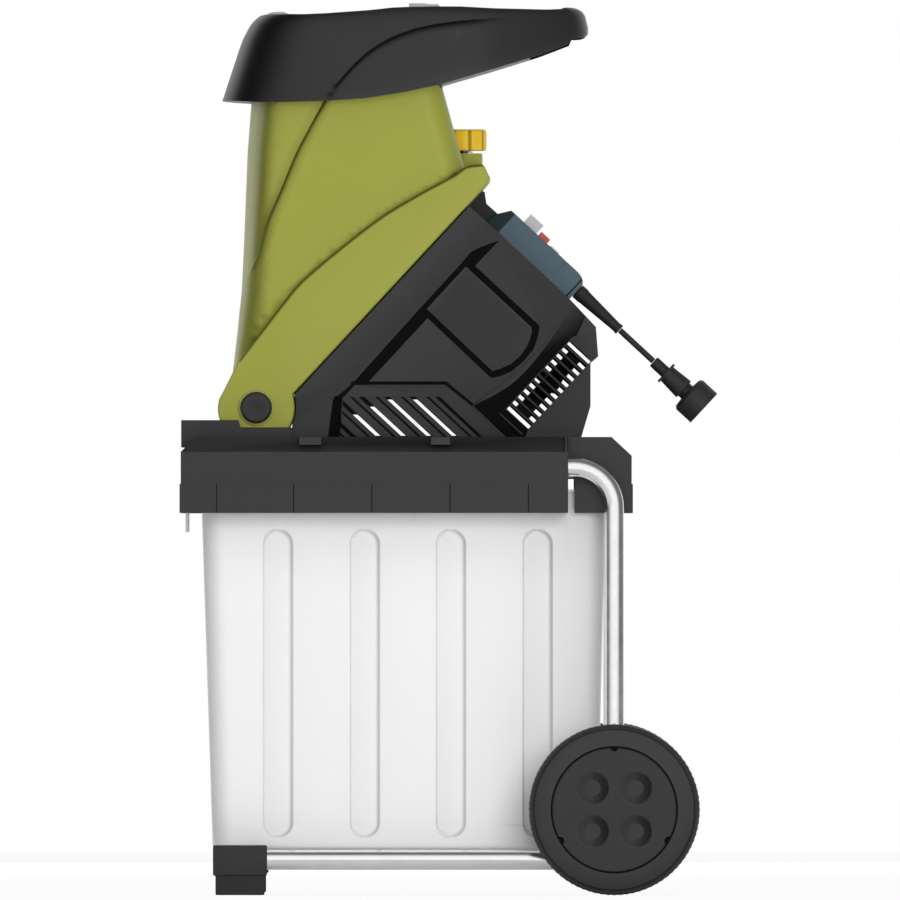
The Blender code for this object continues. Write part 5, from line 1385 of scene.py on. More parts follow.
@dataclass
class FeedColumn:
    """The green column with its raised side panels, its band, the hinge ears and the knob's boss, in metres.

    Attributes:
        FRONT: the front's middle line, as (height, x).
        CREASE: where the raised panel starts, from the bottom to the top.
        BAND_CREASE: the upper edge of the band.
        half_width: half of the column's width.
        corner: the length of its round corners.
        wall: its thickness.
        panel: how far the side panels stand proud.
        band_half: half of the band's width.
        bow: how far the front's middle stands ahead of its corners, at the bottom and at the top.
        boss: the radius and the top of the knob's boss.
        knob_x: where the knob's axis stands.
        ear: the radius of the hinge ears.
    """

    FRONT = mm(
        (490, -212.5), (520.5, -208), (564.8, -202.7), (604.8, -198.7), (644.8, -196.7), (744.8, -192.7),
        (796.8, -188.7), (820, -187.2),
    )
    CREASE = mm(
        (-201.9, 532.8), (-200.9, 550.8), (-197.9, 589.8), (-190.7, 618.3), (-180.7, 642.8), (-172.7, 671.8),
        (-158, 706), (-141.7, 744.8), (-113.8, 796.5), (-104, 812),
    )
    BAND_CREASE = mm(
        (-201.9, 532.8), (-178.7, 563.2), (-158, 589.8), (-137.7, 614.2), (-96.8, 648.8), (-56, 679.8),
        (-15.2, 704), (15.4, 720.3), (26, 728.2), (42.4, 730.8),
    )
    half_width: float = 0.111
    corner: float = 0.024
    wall: float = 0.0035
    panel: float = 0.0025
    band_half: float = 0.120
    bow: Point = (0.0055, 0.013)
    boss: Point = (0.0186, 0.7428)
    knob_x: float = 0.0244
    ear: float = 0.0385

    SHOULDER = (
        (-0.9, 0.0), (-0.35, -0.25), (0.0, -0.3), (0.35, 0.35), (0.9, 0.62), (1.8, 0.82), (3.2, 0.95), (5.0, 1.0),
    )
    RINGS = 64
    ENDS = (0.490, 0.8125)
    CHEEK_LOW = 0.5205
    CHEEK_HALF = 0.1075
    NICHE = 0.0243
    NICHE_Z = (0.7308, 0.7798)
    WINDOW = (0.070, 0.212, 0.070)
    BOSS_BORES = ((0.0165, 0.65, 0.7269), (0.0038, 0.72, 0.76))
    PIN_BORE = 0.0063

    def back(self, z: float) -> float:
        """Tells where the back wall is at a height."""
        return self.knob_x - 0.276 * (z - 0.7290)

    def half_ring(self, z: float, inset: float) -> list[Vector]:
        """Draws half of the column's outline, from the front's middle to the back's.

        Args:
            z: the height.
            inset: how far it lies inside the outside.

        Returns:
            Many points close together.
        """
        w, c = self.half_width - inset, self.corner - inset
        x0, x1 = along(self.FRONT, z) + inset, self.back(z) - inset
        bow = self.bow[0] + (self.bow[1] - self.bow[0]) * min(1.0, max(0.0, (z - 0.52) / 0.28))
        flat = w - c
        line = [Vector((x0 + bow * (i / 20) ** 2, flat * i / 20)) for i in range(20)]
        start, stop = Vector((x0 + bow, flat)), Vector((x0 + bow + c, w))
        slope = Vector((2 * bow / flat, 1.0)).normalized()
        line += self.corner_curve(start, start + slope * c * 0.55, stop - Vector((c * 0.55, 0)), stop)
        line += [stop.lerp(Vector((x1 - c, w)), i / 12) for i in range(1, 12)]
        start, stop = Vector((x1 - c, w)), Vector((x1, w - c))
        line += self.corner_curve(start, start + Vector((c * 0.55, 0)), stop + Vector((0, c * 0.55)), stop)
        line += [stop.lerp(Vector((x1, 0.0)), i / 6) for i in range(1, 7)]
        return line

    def corner_curve(self, a: Vector, b: Vector, c: Vector, d: Vector) -> list[Vector]:
        """Draws a round corner with a Bezier curve.

        Args:
            a: its start.
            b: its first handle.
            c: its second handle.
            d: its end.

        Returns:
            The points, both ends among them.
        """
        ts = [i / 16 for i in range(17)]
        return [a * (1 - t) ** 3 + 3 * b * t * (1 - t) ** 2 + 3 * c * t**2 * (1 - t) + d * t**3 for t in ts]

    def ring(self, z: float, inset: float, raised: bool) -> Ring:
        """Makes one ring of the column.

        Args:
            z: the height.
            inset: how far it lies inside the outside.
            raised: True to give it the raised panels.

        Returns:
            The ring, from the front's middle all the way round.
        """
        dense = self.half_ring(z, inset)
        lengths = [0.0]
        for a, b in zip(dense, dense[1:]):
            lengths.append(lengths[-1] + (b - a).length)
        rise = [(p[1], p[0]) for p in smooth_line(self.CREASE, 8)]
        turn = along(rise, z)
        after = next(i for i, p in enumerate(dense) if p.x >= turn)
        a, b = dense[after - 1], dense[after]
        begin = lengths[after - 1] + (lengths[after] - lengths[after - 1]) * (turn - a.x) / (b.x - a.x)
        first = begin + self.SHOULDER[0][0] / 1000
        places = [first * i / 14 for i in range(14)]
        heights = [0.0] * 14
        for offset, share in self.SHOULDER:
            places.append(begin + offset / 1000)
            heights.append(share * self.panel)
        rest = lengths[-1] - places[-1]
        for i in range(1, 41):
            places.append(places[-1] + rest / 40 if i < 40 else lengths[-1])
            heights.append(self.panel)
        half = []
        index = 0
        for place, height in zip(places, heights):
            while index < len(lengths) - 2 and lengths[index + 1] < place:
                index += 1
            a, b = dense[index], dense[index + 1]
            t = (place - lengths[index]) / max(1e-9, lengths[index + 1] - lengths[index])
            point = a.lerp(b, min(1.0, max(0.0, t)))
            out = Vector((-(b - a).y, (b - a).x)).normalized()
            fade = min(1.0, max(0.0, (self.back(z) - point.x - 0.002) / 0.012))
            half.append(point + out * (height * fade if raised else 0.0))
        return [Vector((p.x, p.y, z)) for p in half] + [Vector((p.x, -p.y, z)) for p in half[-2:0:-1]]

    def skin(self, inset: float, raised: bool, count: int) -> Shape:
        """Makes the column's outside or inside as a solid block.

        Args:
            inset: how far it lies inside the outside.
            raised: True to give it the raised panels.
            count: the number of rings.

        Returns:
            The mesh.
        """
        low, high = self.ENDS
        heights = [low + (high - low) * i / (count - 1) for i in range(count)]
        return loft([self.ring(z, inset, raised) for z in heights], Caps.STRIPS)

    def band_outline(self) -> list[Point]:
        """Draws the band and its hinge ears in the side view."""
        crown = [(p.x, p.y) for p in smooth_line(self.BAND_CREASE, 6)]
        end = mm((45, 728.8), (48.2, 721.8), (51.4, 715.5), (44.35, 707.2))
        start = math.atan2(LIP[1] - HINGE[1], LIP[0] - HINGE[0])
        turns = [start + (-math.pi - start) * i / 28 for i in range(1, 29)]
        ear = [(HINGE[0] + self.ear * math.cos(t), HINGE[1] + self.ear * math.sin(t)) for t in turns]
        return crown + end + [LIP] + ear + mm((-221.0, 495), (-214.2, 508.1), (-208, 520.5))

    def build(self, make: Maker) -> None:
        """Makes the column with its band, boss, throat plate and openings.

        Args:
            make: the maker of pieces.
        """
        far = [slant(-0.2, 0), slant(0.6, 0), (0.4, 0.3)]
        body = Solid(self.skin(0.0, True, self.RINGS)).cut(prism(far, -0.2, 0.2))
        band = Solid(prism(self.band_outline(), -self.band_half, self.band_half)).soften(0.0028, 3, 50.0)
        body.join(band.shape())
        low, half = self.CHEEK_LOW, self.CHEEK_HALF
        body.cut(prism([(-0.208, low), LIP, (LIP[0] + 0.05, 0.40), (-0.30, 0.40), (-0.30, low)], -half, half))
        inside = Solid(self.skin(self.wall, False, 12))
        floor, (x, z) = low + self.wall, LIP
        inside.cut(prism([(-0.3, floor), (-0.208, floor), (x, z + self.wall), (x, 0.3), (-0.3, 0.3)], -0.2, 0.2))
        inside.cut(prism([slant(-0.2, -0.004), slant(0.6, -0.004), (0.4, 0.3)], -0.2, 0.2))
        upright = Matrix.Translation((self.knob_x, 0.0, 0.0))
        niche, (niche_low, niche_high) = self.NICHE, self.NICHE_Z
        inside.cut(rod(niche + self.wall, 0.66, niche_high + self.wall, 48, upright))
        inside.join(block((-0.17, -0.09, 0.80), (-0.02, 0.09, 0.83)))
        body.cut(inside.shape())
        body.cut(rod(niche, niche_low, niche_high, 48, upright))
        r, top = self.boss
        body.join(turned([(0, 0.727), (r, 0.727), (r, top - 0.001), (r - 0.001, top), (0, top)], 48, upright))
        start, stop, half = self.WINDOW
        body.cut(prism(tile(start, stop, -0.01, 0.01), -half, half))
        for radius, low, high in self.BOSS_BORES:
            body.cut(rod(radius, low, high, 24, upright))
        for side in SIDES:
            out = across_axis(*HINGE, side)
            body.join(turned([(0, 0.118), (0.0176, 0.118), (0.0176, 0.1229), (0.0170, 0.1235), (0, 0.1235)], 48, out))
            body.cut(rod(self.PIN_BORE, 0.09, 0.14, 24, out))
        make.piece("feed_column", body.shape(), Slot.GREEN, Body.HOPPER.value, "hopper", 30.0, painted_shade_and_highlight=self.painted_shade_and_highlight)

    def painted_shade_and_highlight(self, point: Vector) -> float:
        """Paints shade on the rounded front corners, along the crease and along the line of the band."""
        if abs(point.y) < 0.07 or point.x > 0.06 or point.z > 0.84:
            return 0.0
        back = point.x - along(self.FRONT, point.z)
        on_column = abs(point.y) < 0.116
        dark = 0.0
        if on_column and point.z > 0.53:
            dark = 0.42 * ramp(back, -0.001, 0.013) * (1.0 - ramp(back, 0.015, 0.028))
            off = point.x - along([(p[1], p[0]) for p in self.CREASE], point.z)
            if -0.004 < off < 0.010 and point.z < 0.80 and abs(point.y) > 0.10:
                dark = max(dark, 0.66 * ramp(off, -0.0035, 0.0) * (1.0 - ramp(off, 0.0006, 0.0085)))
        off = away(self.BAND_CREASE, point.x, point.z)
        if abs(point.y) > 0.108 and off < 0.004 and point.z > 0.535:
            dark = max(dark, 0.70 * (1.0 - ramp(off, 0.0006, 0.0040)))
        return dark


# Collection box


@dataclass
class CollectionBox:
    """The milky box: tapered walls with four pressed flutes a side, a rim and a pull lip, in metres.

    Attributes:
        low: the height of its underside.
        high: the height of its rim.
        x_low: its front and back at the bottom.
        x_high: its front and back at the top.
        half_low: half of its width at the bottom.
        half_high: half of its width at the top.
        corner: the radius of its corners.
        wall: its thickness.
        flutes: where the middles of the flutes stand.
        flute: the width and the depth of a flute.
        flute_z: where the flutes start and end.
    """

    low: float = 0.04526
    high: float = 0.4055
    x_low: Point = (-0.2270, 0.1580)
    x_high: Point = (-0.2386, 0.1660)
    half_low: float = 0.149
    half_high: float = 0.157
    corner: float = 0.022
    wall: float = 0.003
    flutes: tuple[float, ...] = (-0.1615, -0.0747, 0.0113, 0.0980)
    flute: Point = (0.0305, 0.0052)
    flute_z: Point = (0.0570, 0.3660)

    EDGE = ((0.0, 0.0060), (0.0007, 0.0034), (0.0020, 0.0015), (0.0038, 0.0004), (0.0060, 0.0))

    STATIONS = (
        -1.0, -0.97, -0.93, -0.89, -0.8, -0.6, -0.35, -0.1, 0.1, 0.3, 0.45, 0.58, 0.66, 0.74, 0.82, 0.9, 0.96, 1.0,
    )
    RIM = 0.0045
    TAB = ((-75, 420), (-75, 370), (-73, 365.5), (-68, 362.7), (68, 362.7), (73, 365.5), (75, 370), (75, 420))

    def ends(self, z: float) -> tuple[float, float, float]:
        """Finds the front, the back and half of the width at a height."""
        share = (z - self.low) / (self.high - self.low)
        x0, x1 = (a + share * (b - a) for a, b in zip(self.x_low, self.x_high))
        return x0, x1, self.half_low + share * (self.half_high - self.half_low)

    def in_flute(self, x: float, z: float) -> Point | None:
        """Finds where in a flute a point of a side lies.

        Args:
            x: where along the side.
            z: the height.

        Returns:
            How far behind the flute's middle it lies and how far inside its edge, or None outside the flutes.
        """
        radius = self.flute[0] / 2
        above = max(0.0, z - (self.flute_z[1] - radius), (self.flute_z[0] + radius) - z)
        for middle in self.flutes:
            reach = radius - math.hypot(x - middle, above)
            if reach > 0.0:
                return x - middle, reach
        return None

    def depth(self, x: float, z: float) -> float:
        """Tells how far the flutes push a side in at a place along it and a height."""
        found = self.in_flute(x, z)
        if found is None:
            return 0.0
        across, reach = found
        radius = self.flute[0] / 2
        lean = 0.5 + 0.5 * math.tanh(across / 0.002)
        share = min(1.0, reach / (0.0014 + 0.0024 * lean))
        slope = 1.0 - 0.28 * (across + radius) / (2 * radius)
        return self.flute[1] * slope * share * share * (3 - 2 * share)

    def stations(self) -> list[float]:
        """Lists where the points of a side stand, close together in the flutes."""
        radius = self.flute[0] / 2
        found = [m + radius * s for m in self.flutes for s in self.STATIONS]
        gaps = [(a + b) / 2 for a, b in zip(self.flutes, self.flutes[1:])]
        return sorted(found + gaps)

    def ring(self, z: float, inset: float) -> Ring:
        """Makes one ring of the wall.

        Args:
            z: the height.
            inset: how far it lies inside the outside.

        Returns:
            The ring.
        """
        x0, x1, w = self.ends(z)
        w -= inset
        points = rounded_plan(x0 + inset, x1 - inset, w, self.corner - inset, z, 7)
        quarter = len(points) // 4
        side = [Vector((x, w - self.depth(x, z), z)) for x in self.stations()]
        far = [Vector((p.x, -p.y, z)) for p in side]
        return points[:quarter] + side[::-1] + points[quarter : 3 * quarter] + far + points[3 * quarter :]

    def heights(self, base: float) -> list[tuple[float, float]]:
        """Lists the heights of the rings with their insets, close together at the flutes' ends.

        Args:
            base: the height of the lowest ring.

        Returns:
            (height, inset) rows.
        """
        low, high = self.flute_z
        rows = [(base + rise, inset) for rise, inset in self.EDGE]
        rows += [(low + 0.0012 * i, 0.0) for i in range(15)]
        rows += [(low + 0.03 + (high - low - 0.06) * i / 14, 0.0) for i in range(15)]
        rows += [(high - 0.0168 + 0.0012 * i, 0.0) for i in range(15)]
        return rows + [(self.high - 0.02, 0.0), (self.high, 0.0)]

    def build(self, make: Maker) -> None:
        """Makes the box.

        Args:
            make: the maker of pieces.
        """
        outer = [self.ring(z, inset) for z, inset in self.heights(self.low)]
        inner = [self.ring(z, inset + self.wall) for z, inset in self.heights(self.low + self.wall)]
        body = Solid(loft(outer + inner[::-1]))
        rim, wall, w = self.RIM, self.wall, self.half_high + self.RIM
        x0, x1 = self.x_high[0] - rim, self.x_high[1] + rim
        edge = Solid(rounded_block(x0, x1, w, self.corner + rim, self.high - wall, self.high))
        edge.cut(rounded_block(x0 + wall, x1 - wall, w - wall, self.corner - rim, 0.39, 0.42))
        body.join(edge.shape())
        top = self.high - 0.0065
        lip = [
            (x0 - 0.0115, 0.3628), (x0 - 0.0085, 0.3628), (x0 - 0.0085, top - 0.0035),
            (x0 + 0.0045, top - 0.0035), (x0 + 0.0045, top), (x0 - 0.0115, top),
        ]
        pull = Solid(prism(lip, -0.075, 0.075))
        pull.keep(loft([[(x, y, z) for y, z in mm(*self.TAB)] for x in (x0 - 0.02, x0 + 0.02)]))
        body.join(pull.shape())
        make.piece("collection_box", body.shape(), Slot.CLEAR, Body.BIN.value, "bin", 42.0, painted_shade_and_highlight=self.painted_shade_and_highlight)

    def painted_shade_and_highlight(self, point: Vector) -> float:
        """Paints shade on the flutes' walls, the corners, the strip below the tray and a strip along the bottom."""
        x0, x1, _ = self.ends(point.z)
        before, behind = point.x - x0, x1 - point.x
        dark = 0.34 * (1.0 - ramp(before, 0.004, 0.022)) + 0.24 * (1.0 - ramp(behind, -0.01, 0.16))
        dark += 0.18 * (1.0 - ramp(behind, 0.0, 0.055))
        dark += 0.14 * ramp(point.z, 0.30, 0.39) + 0.10 * (1.0 - ramp(point.z, 0.05, 0.10))
        if abs(point.y) < self.half_low - 0.012:
            return 0.5 * dark
        found = self.in_flute(point.x, point.z)
        if found is not None:
            across, reach = found
            radius = self.flute[0] / 2
            right = ramp(across, -0.004, 0.010)
            dark += (0.10 + 0.38 * right) * (1.0 - ramp(reach, 0.0006, 0.0038 + 0.0016 * right))
            dark += 0.07 * (1.0 - ramp(across, -radius, radius))
        return dark


# Patterns, wheels and frame


class Patterns:
    """Geometry Nodes trees that place copies of a shape, in a round or in a row."""

    def round(self) -> bpy.types.GeometryNodeTree:
        """Builds the tree that sets copies of a shape round the Z axis and joins them to the piece.

        Returns:
            A tree with the inputs Geometry, Shape, Count, Radius and Finish.
        """
        wire, start, end = self.begin("RoundPattern", {"Radius": "Float"})
        given = start.outputs
        circle = wire.add("GeometryNodeMeshCircle", {"Vertices": given["Count"], "Radius": given["Radius"]})
        place = wire.add("GeometryNodeInputPosition").outputs[0]
        split = wire.add("ShaderNodeSeparateXYZ", {0: place}).outputs
        spin = wire.add("ShaderNodeCombineXYZ", {"Z": wire.math("ARCTAN2", split["Y"], split["X"])})
        return self.finish(wire, start, end, {"Points": circle.outputs["Mesh"], "Rotation": spin.outputs[0]})

    def row(self) -> bpy.types.GeometryNodeTree:
        """Builds the tree that sets copies of a shape in a row and joins them to the piece.

        Returns:
            A tree with the inputs Geometry, Shape, Count, Start, Step and Finish.
        """
        wire, start, end = self.begin("RowPattern", {"Start": "Vector", "Step": "Vector"})
        given = start.outputs
        inputs = {"Count": given["Count"], "Start Location": given["Start"], "Offset": given["Step"]}
        line = wire.add("GeometryNodeMeshLine", inputs)
        return self.finish(wire, start, end, {"Points": line.outputs["Mesh"]})

    def begin(self, name: str, own: dict[str, str]) -> tuple[Wiring, bpy.types.Node, bpy.types.Node]:
        """Starts a tree with its sockets and its first and last node.

        Args:
            name: the tree's name.
            own: the name and kind of each input that only this tree has.

        Returns:
            Its wiring, its first node and its last node.
        """
        tree = bpy.data.node_groups.new(name, "GeometryNodeTree")
        wanted = {"Geometry": "Geometry", "Shape": "Object", "Count": "Int", **own, "Finish": "Material"}
        for label, kind in wanted.items():
            tree.interface.new_socket(name=label, in_out="INPUT", socket_type=f"NodeSocket{kind}")
        tree.interface.new_socket(name="Geometry", in_out="OUTPUT", socket_type="NodeSocketGeometry")
        wire = Wiring(tree)
        return wire, wire.add("NodeGroupInput"), wire.add("NodeGroupOutput")

    def finish(
        self, wire: Wiring, start: bpy.types.Node, end: bpy.types.Node, places: dict[str, Socket]
    ) -> bpy.types.GeometryNodeTree:
        """Sets the copies on their points, joins them to the piece and gives them the finish.

        Args:
            wire: the tree's wiring.
            start: its first node.
            end: its last node.
            places: where the copies go, and how each is turned.

        Returns:
            The tree.
        """
        shape = wire.add("GeometryNodeObjectInfo", {"Object": start.outputs["Shape"]})
        copies = wire.add("GeometryNodeInstanceOnPoints", {**places, "Instance": shape.outputs["Geometry"]})
        join = wire.add("GeometryNodeJoinGeometry", {0: copies.outputs[0]})
        wire.feed(join, {0: start.outputs["Geometry"]})
        real = wire.add("GeometryNodeRealizeInstances", {0: join.outputs[0]})
        inputs = {"Geometry": real.outputs[0], "Material": start.outputs["Finish"]}
        paint = wire.add("GeometryNodeSetMaterial", inputs)
        wire.feed(end, {0: paint.outputs[0]})
        return wire.tree


def patterned(
    tree: bpy.types.GeometryNodeTree, base: Shape, shape: Shape, values: dict[str, object]
) -> bpy.types.Mesh:
    """Runs a pattern tree on a base and hands back one plain mesh.

    Args:
        tree: the tree.
        base: the mesh that the copies join, which is used up.
        shape: the mesh that is copied, which is used up.
        values: the values of the other inputs, by name.

    Returns:
        The mesh.
    """
    holder, sample = Solid(base), Solid(shape)
    step = holder.thing.modifiers.new("pattern", "NODES")
    step.node_group = tree
    sockets = {item.name: item.identifier for item in tree.interface.items_tree if item.in_out == "INPUT"}
    for name, value in {"Shape": sample.thing, **values}.items():
        step[sockets[name]] = value
    holder.settle()
    mesh = holder.thing.data.copy()
    holder.drop()
    sample.drop()
    return mesh


@dataclass
class Wheel:
    """A moulded wheel with a treaded rim and its hub cap, in metres.

    Attributes:
        side: -1 for the near wheel and 1 for the far one.
        radius: over the tread.
        inner: where its inner face stands.
        width: its width.
        rim: how wide the rim is outside the cap.
        lugs: the number of tread lugs.
        dimple: the radius, the depth and the spread of the cap's dimples.
        notch: the radius of the notches in the cap's edge.
    """

    side: int
    radius: float = 0.0855
    inner: float = 0.194
    width: float = 0.036
    rim: float = 0.0226
    lugs: int = 84
    dimple: tuple[float, float, float] = (0.0160, 0.0046, 0.0215)
    notch: float = 0.0045

    def tyre(self) -> Shape:
        """Turns the rim, the web and the hub round the Z axis."""
        w, r, low = self.width, self.radius - 0.0003, self.radius - self.rim
        profile = [
            (0.0063, 0.002), (0.013, 0.002), (0.013, 0.010), (low, 0.010), (low, 0.0005), (low + 0.0005, 0.0),
            (r - 0.005, 0.0), (r - 0.0026, 0.0007), (r - 0.0008, 0.0022), (r, 0.0048), (r, w - 0.0075),
            (r - 0.0007, w - 0.0042), (r - 0.0022, w - 0.0021), (r - 0.0036, w - 0.0012), (r - 0.0049, w - 0.0012),
            (r - 0.0060, w - 0.0008), (low + 0.0007, w - 0.0005), (low, w - 0.0012), (low, 0.014), (0.013, 0.014),
            (0.013, w - 0.010), (0.0063, w - 0.010),
        ]
        return ring_turned(profile, 120, Matrix.Translation((0, 0, self.inner)))

    def lug(self) -> Shape:
        """Makes one tread lug, beside the Z axis."""
        w, half = self.width, 0.0011
        profile = [
            (-0.0052, w - 0.0002), (-0.0030, w - 0.0008), (-0.0011, w - 0.0024), (-0.0001, w - 0.0052),
            (0.0, w - 0.009), (0.0, 0.0048), (-0.0010, 0.0020), (-0.0034, 0.0008), (-0.0040, 0.0030),
            (-0.0020, 0.0060), (-0.0020, w - 0.009), (-0.0058, w - 0.0032),
        ]
        return loft([[(x, y, z + self.inner) for x, z in profile] for y in (-half, half)])

    def cap(self, axis: Matrix) -> Shape:
        """Makes the hub cap: a disc with four bowls and three notches."""
        radius, face = self.radius - self.rim - 0.0003, self.inner + self.width - 0.0005
        bowl, depth, spread = self.dimple
        steps, rows = 144, 46
        middles = [(x * spread, y * spread) for x in (-1, 1) for y in (-1, 1)]
        reach = [radius - 0.0007] + [(radius - 0.002) * (1 - i / rows) for i in range(rows)]
        shape = bmesh.new()
        made = []
        for row, size in enumerate([radius - 0.001, radius, radius] + reach):
            level = (face - 0.0035, face - 0.0035, face - 0.0007)[row] if row < 3 else face
            ring = []
            for t in angles(steps):
                x, y, z = size * math.cos(t), size * math.sin(t), level
                for mx, my in middles:
                    off = math.hypot(x - mx, y - my) / bowl
                    if row >= 3 and off < 1.0:
                        z -= depth * (1.0 - off**2)
                ring.append(shape.verts.new(axis @ Vector((x, y, z))))
            made.append(ring)
        for low, high in zip(made, made[1:]):
            for i in range(steps):
                j = (i + 1) % steps
                shape.faces.new((low[i], low[j], high[j], high[i]))
        shape.faces.new(made[0][::-1])
        tip = shape.verts.new(axis @ Vector((0, 0, face)))
        for i in range(steps):
            shape.faces.new((made[-1][i], made[-1][(i + 1) % steps], tip))
        settle(shape)
        body = Solid(shape)
        for degrees in (90, 210, 330):
            t = math.radians(degrees)
            spot = axis @ Matrix.Translation((radius * math.cos(t), radius * math.sin(t), 0))
            body.cut(rod(self.notch, face - 0.01, face + 0.01, 20, spot))
        return body.shape()

    def build(self, make: Maker, tree: bpy.types.GeometryNodeTree) -> None:
        """Makes the wheel and its cap.

        Args:
            make: the maker of pieces.
            tree: the round pattern.
        """
        word, body = ("left", Body.WHEEL_LEFT) if self.side < 0 else ("right", Body.WHEEL_RIGHT)
        axis = across_axis(*WHEEL_AXIS, self.side)
        values = {"Count": self.lugs, "Radius": self.radius, "Finish": make.paints[Slot.BLACK]}
        mesh = patterned(tree, self.tyre(), self.lug(), values)
        mesh.transform(axis)
        for name, shape, node in (("tread", mesh, "wheel"), ("cap", self.cap(axis), "hub_cap")):
            node = f"{node}_{word}"
            make.piece(f"wheel_{name}_{word}", shape, Slot.BLACK, body.value, node, 34.0, painted_shade_and_highlight=self.painted_shade_and_highlight)

    def painted_shade_and_highlight(self, point: Vector) -> float:
        """Paints shade in the line inside the shoulder, in a second thin ring and on the right side of the cap's
        bowls, and a faint painted highlight on the rest.
        """
        radius = math.hypot(point.x - WHEEL_AXIS[0], point.z - WHEEL_AXIS[1])
        outside = abs(point.y) > self.inner + self.width - 0.009
        if outside and (0.0800 < radius < 0.0815 or 0.0618 < radius < 0.0638):
            return 0.55
        bowl, _, spread = self.dimple
        across = point.x - WHEEL_AXIS[0]
        right = across - math.copysign(spread, across)
        reach = math.hypot(abs(across) - spread, abs(point.z - WHEEL_AXIS[1]) - spread)
        return -0.03 + 0.55 * ramp(right / bowl, -0.1, 1.0) if outside and reach < bowl else -0.02


@dataclass
class Frame:
    """The bent side tubes, the crossbars and the axle, in metres.

    Attributes:
        radius: of the tubes, outside and inside.
        bend: the radius of the bends.
        low_z: the height of the lower runs.
        high_z: the height of the upper runs.
        y: how far the side tubes stand from the middle.
        starts: where the upper and the lower runs start.
        axle: the radius of the axle's hole.
        bars: each crossbar's name, place and half length.
    """

    radius: Point = (0.010, 0.0085)
    bend: float = 0.040
    low_z: float = 0.0353
    high_z: float = 0.4275
    y: float = 0.180
    starts: Point = (0.0534, -0.1950)
    axle: float = 0.0063
    bars: tuple[tuple[str, float, float], ...] = (("front", -0.2075, 0.1897), ("rear", 0.110, 0.1697))

    def build(self, make: Maker) -> None:
        """Makes the tubes.

        Args:
            make: the maker of pieces.
        """
        back = WHEEL_AXIS[0] - self.bend
        line = [(self.starts[0], self.high_z)]
        for centre, start in ((self.high_z - self.bend, 90), (self.low_z + self.bend, 0)):
            turns = [math.radians(start - 90 * i / 14) for i in range(15)]
            line += [(back + self.bend * math.cos(t), centre + self.bend * math.sin(t)) for t in turns]
        line.append((self.starts[1], self.low_z))
        for word, side in (("left", -1), ("right", 1)):
            path = [Vector((x, side * self.y, z)) for x, z in line]
            body = Solid(tube(path, *self.radius))
            body.cut(rod(self.axle, 0.16, 0.20, 24, across_axis(*WHEEL_AXIS, side)))
            node = f"frame_tube_{word}"
            make.piece(f"side_tube_{word}", body.shape(), Slot.TUBE, Body.MACHINE.value, node, 40.0)
        for word, x, half in self.bars:
            path = [Vector((x, -half, self.low_z)), Vector((x, half, self.low_z))]
            body = tube(path, *self.radius)
            make.piece(f"{word}_bar", body, Slot.TUBE, Body.MACHINE.value, f"{word}_crossbar", 40.0)


# Base, cutter housing and motor cover


# A speck outside the machine, for the row pattern to join its copies to. It is cut away again.
SPECK = ((0.5, -0.001, 0.5), (0.501, 0.001, 0.501))


@dataclass
class Base:
    """The black tray with its skirt, as packed, with the skirt's seams and the clips of the housing, in metres.

    Attributes:
        seams: where the seams of the lower skirt stand.
        seam: the width and the depth of a seam.
        tabs: where each clip starts and ends.
        half_width: half of the lower skirt's width.
        skirt: the bottom and the top of the lower skirt.
    """

    seams: tuple[float, ...] = (-0.2229, -0.1458, -0.0677, 0.0104, 0.0887)
    seam: Point = (0.0010, 0.0007)
    tabs: tuple[Point, ...] = ((-0.1402, -0.1184), (-0.0087, 0.0104))
    half_width: float = 0.1938
    skirt: Point = (0.3818, 0.4108)

    def painted_shade_and_highlight(self, point: Vector) -> float:
        """Paints shade in the seams and on the bevel along the top edge."""
        depth = self.half_width - abs(point.y)
        if 0.0002 < depth < 0.0008 and point.z < self.skirt[1] and point.x < 0.12:
            return 0.85
        in_tab = any(a < point.x < b for a, b in self.tabs) and abs(point.y) > self.half_width
        if 0.444 < point.z < 0.4577 and 0.1812 < abs(point.y) < 0.1949 and point.x < 0.127 and not in_tab:
            return 0.30
        return 0.0

    def build(self, make: Maker) -> None:
        """Makes the tray.

        Args:
            make: the maker of pieces.
        """
        body = Solid(node_copy("base_deck"))
        width, depth = self.seam
        z0, z1 = self.skirt[0] - 0.01, self.skirt[1] - 0.0002
        for side in SIDES:
            low, high = sided(side, self.half_width - depth, self.half_width + 0.01)
            for x in self.seams:
                body.cut(block((x - width / 2, low, z0), (x + width / 2, high, z1)))
            low, high = sided(side, 0.176, 0.1948)
            for x0, x1 in self.tabs:
                body.join(block((x0, low, 0.4500), (x1, high, 0.4576)))
            body.join(block((0.1254, low, 0.4420), (0.1272, high, 0.4574)))
        body.soften(0.0006, 1, 38.0)
        make.piece("base_tray", body.shape(), Slot.BLACK, Body.MACHINE.value, "base_deck", 14.0, painted_shade_and_highlight=self.painted_shade_and_highlight)


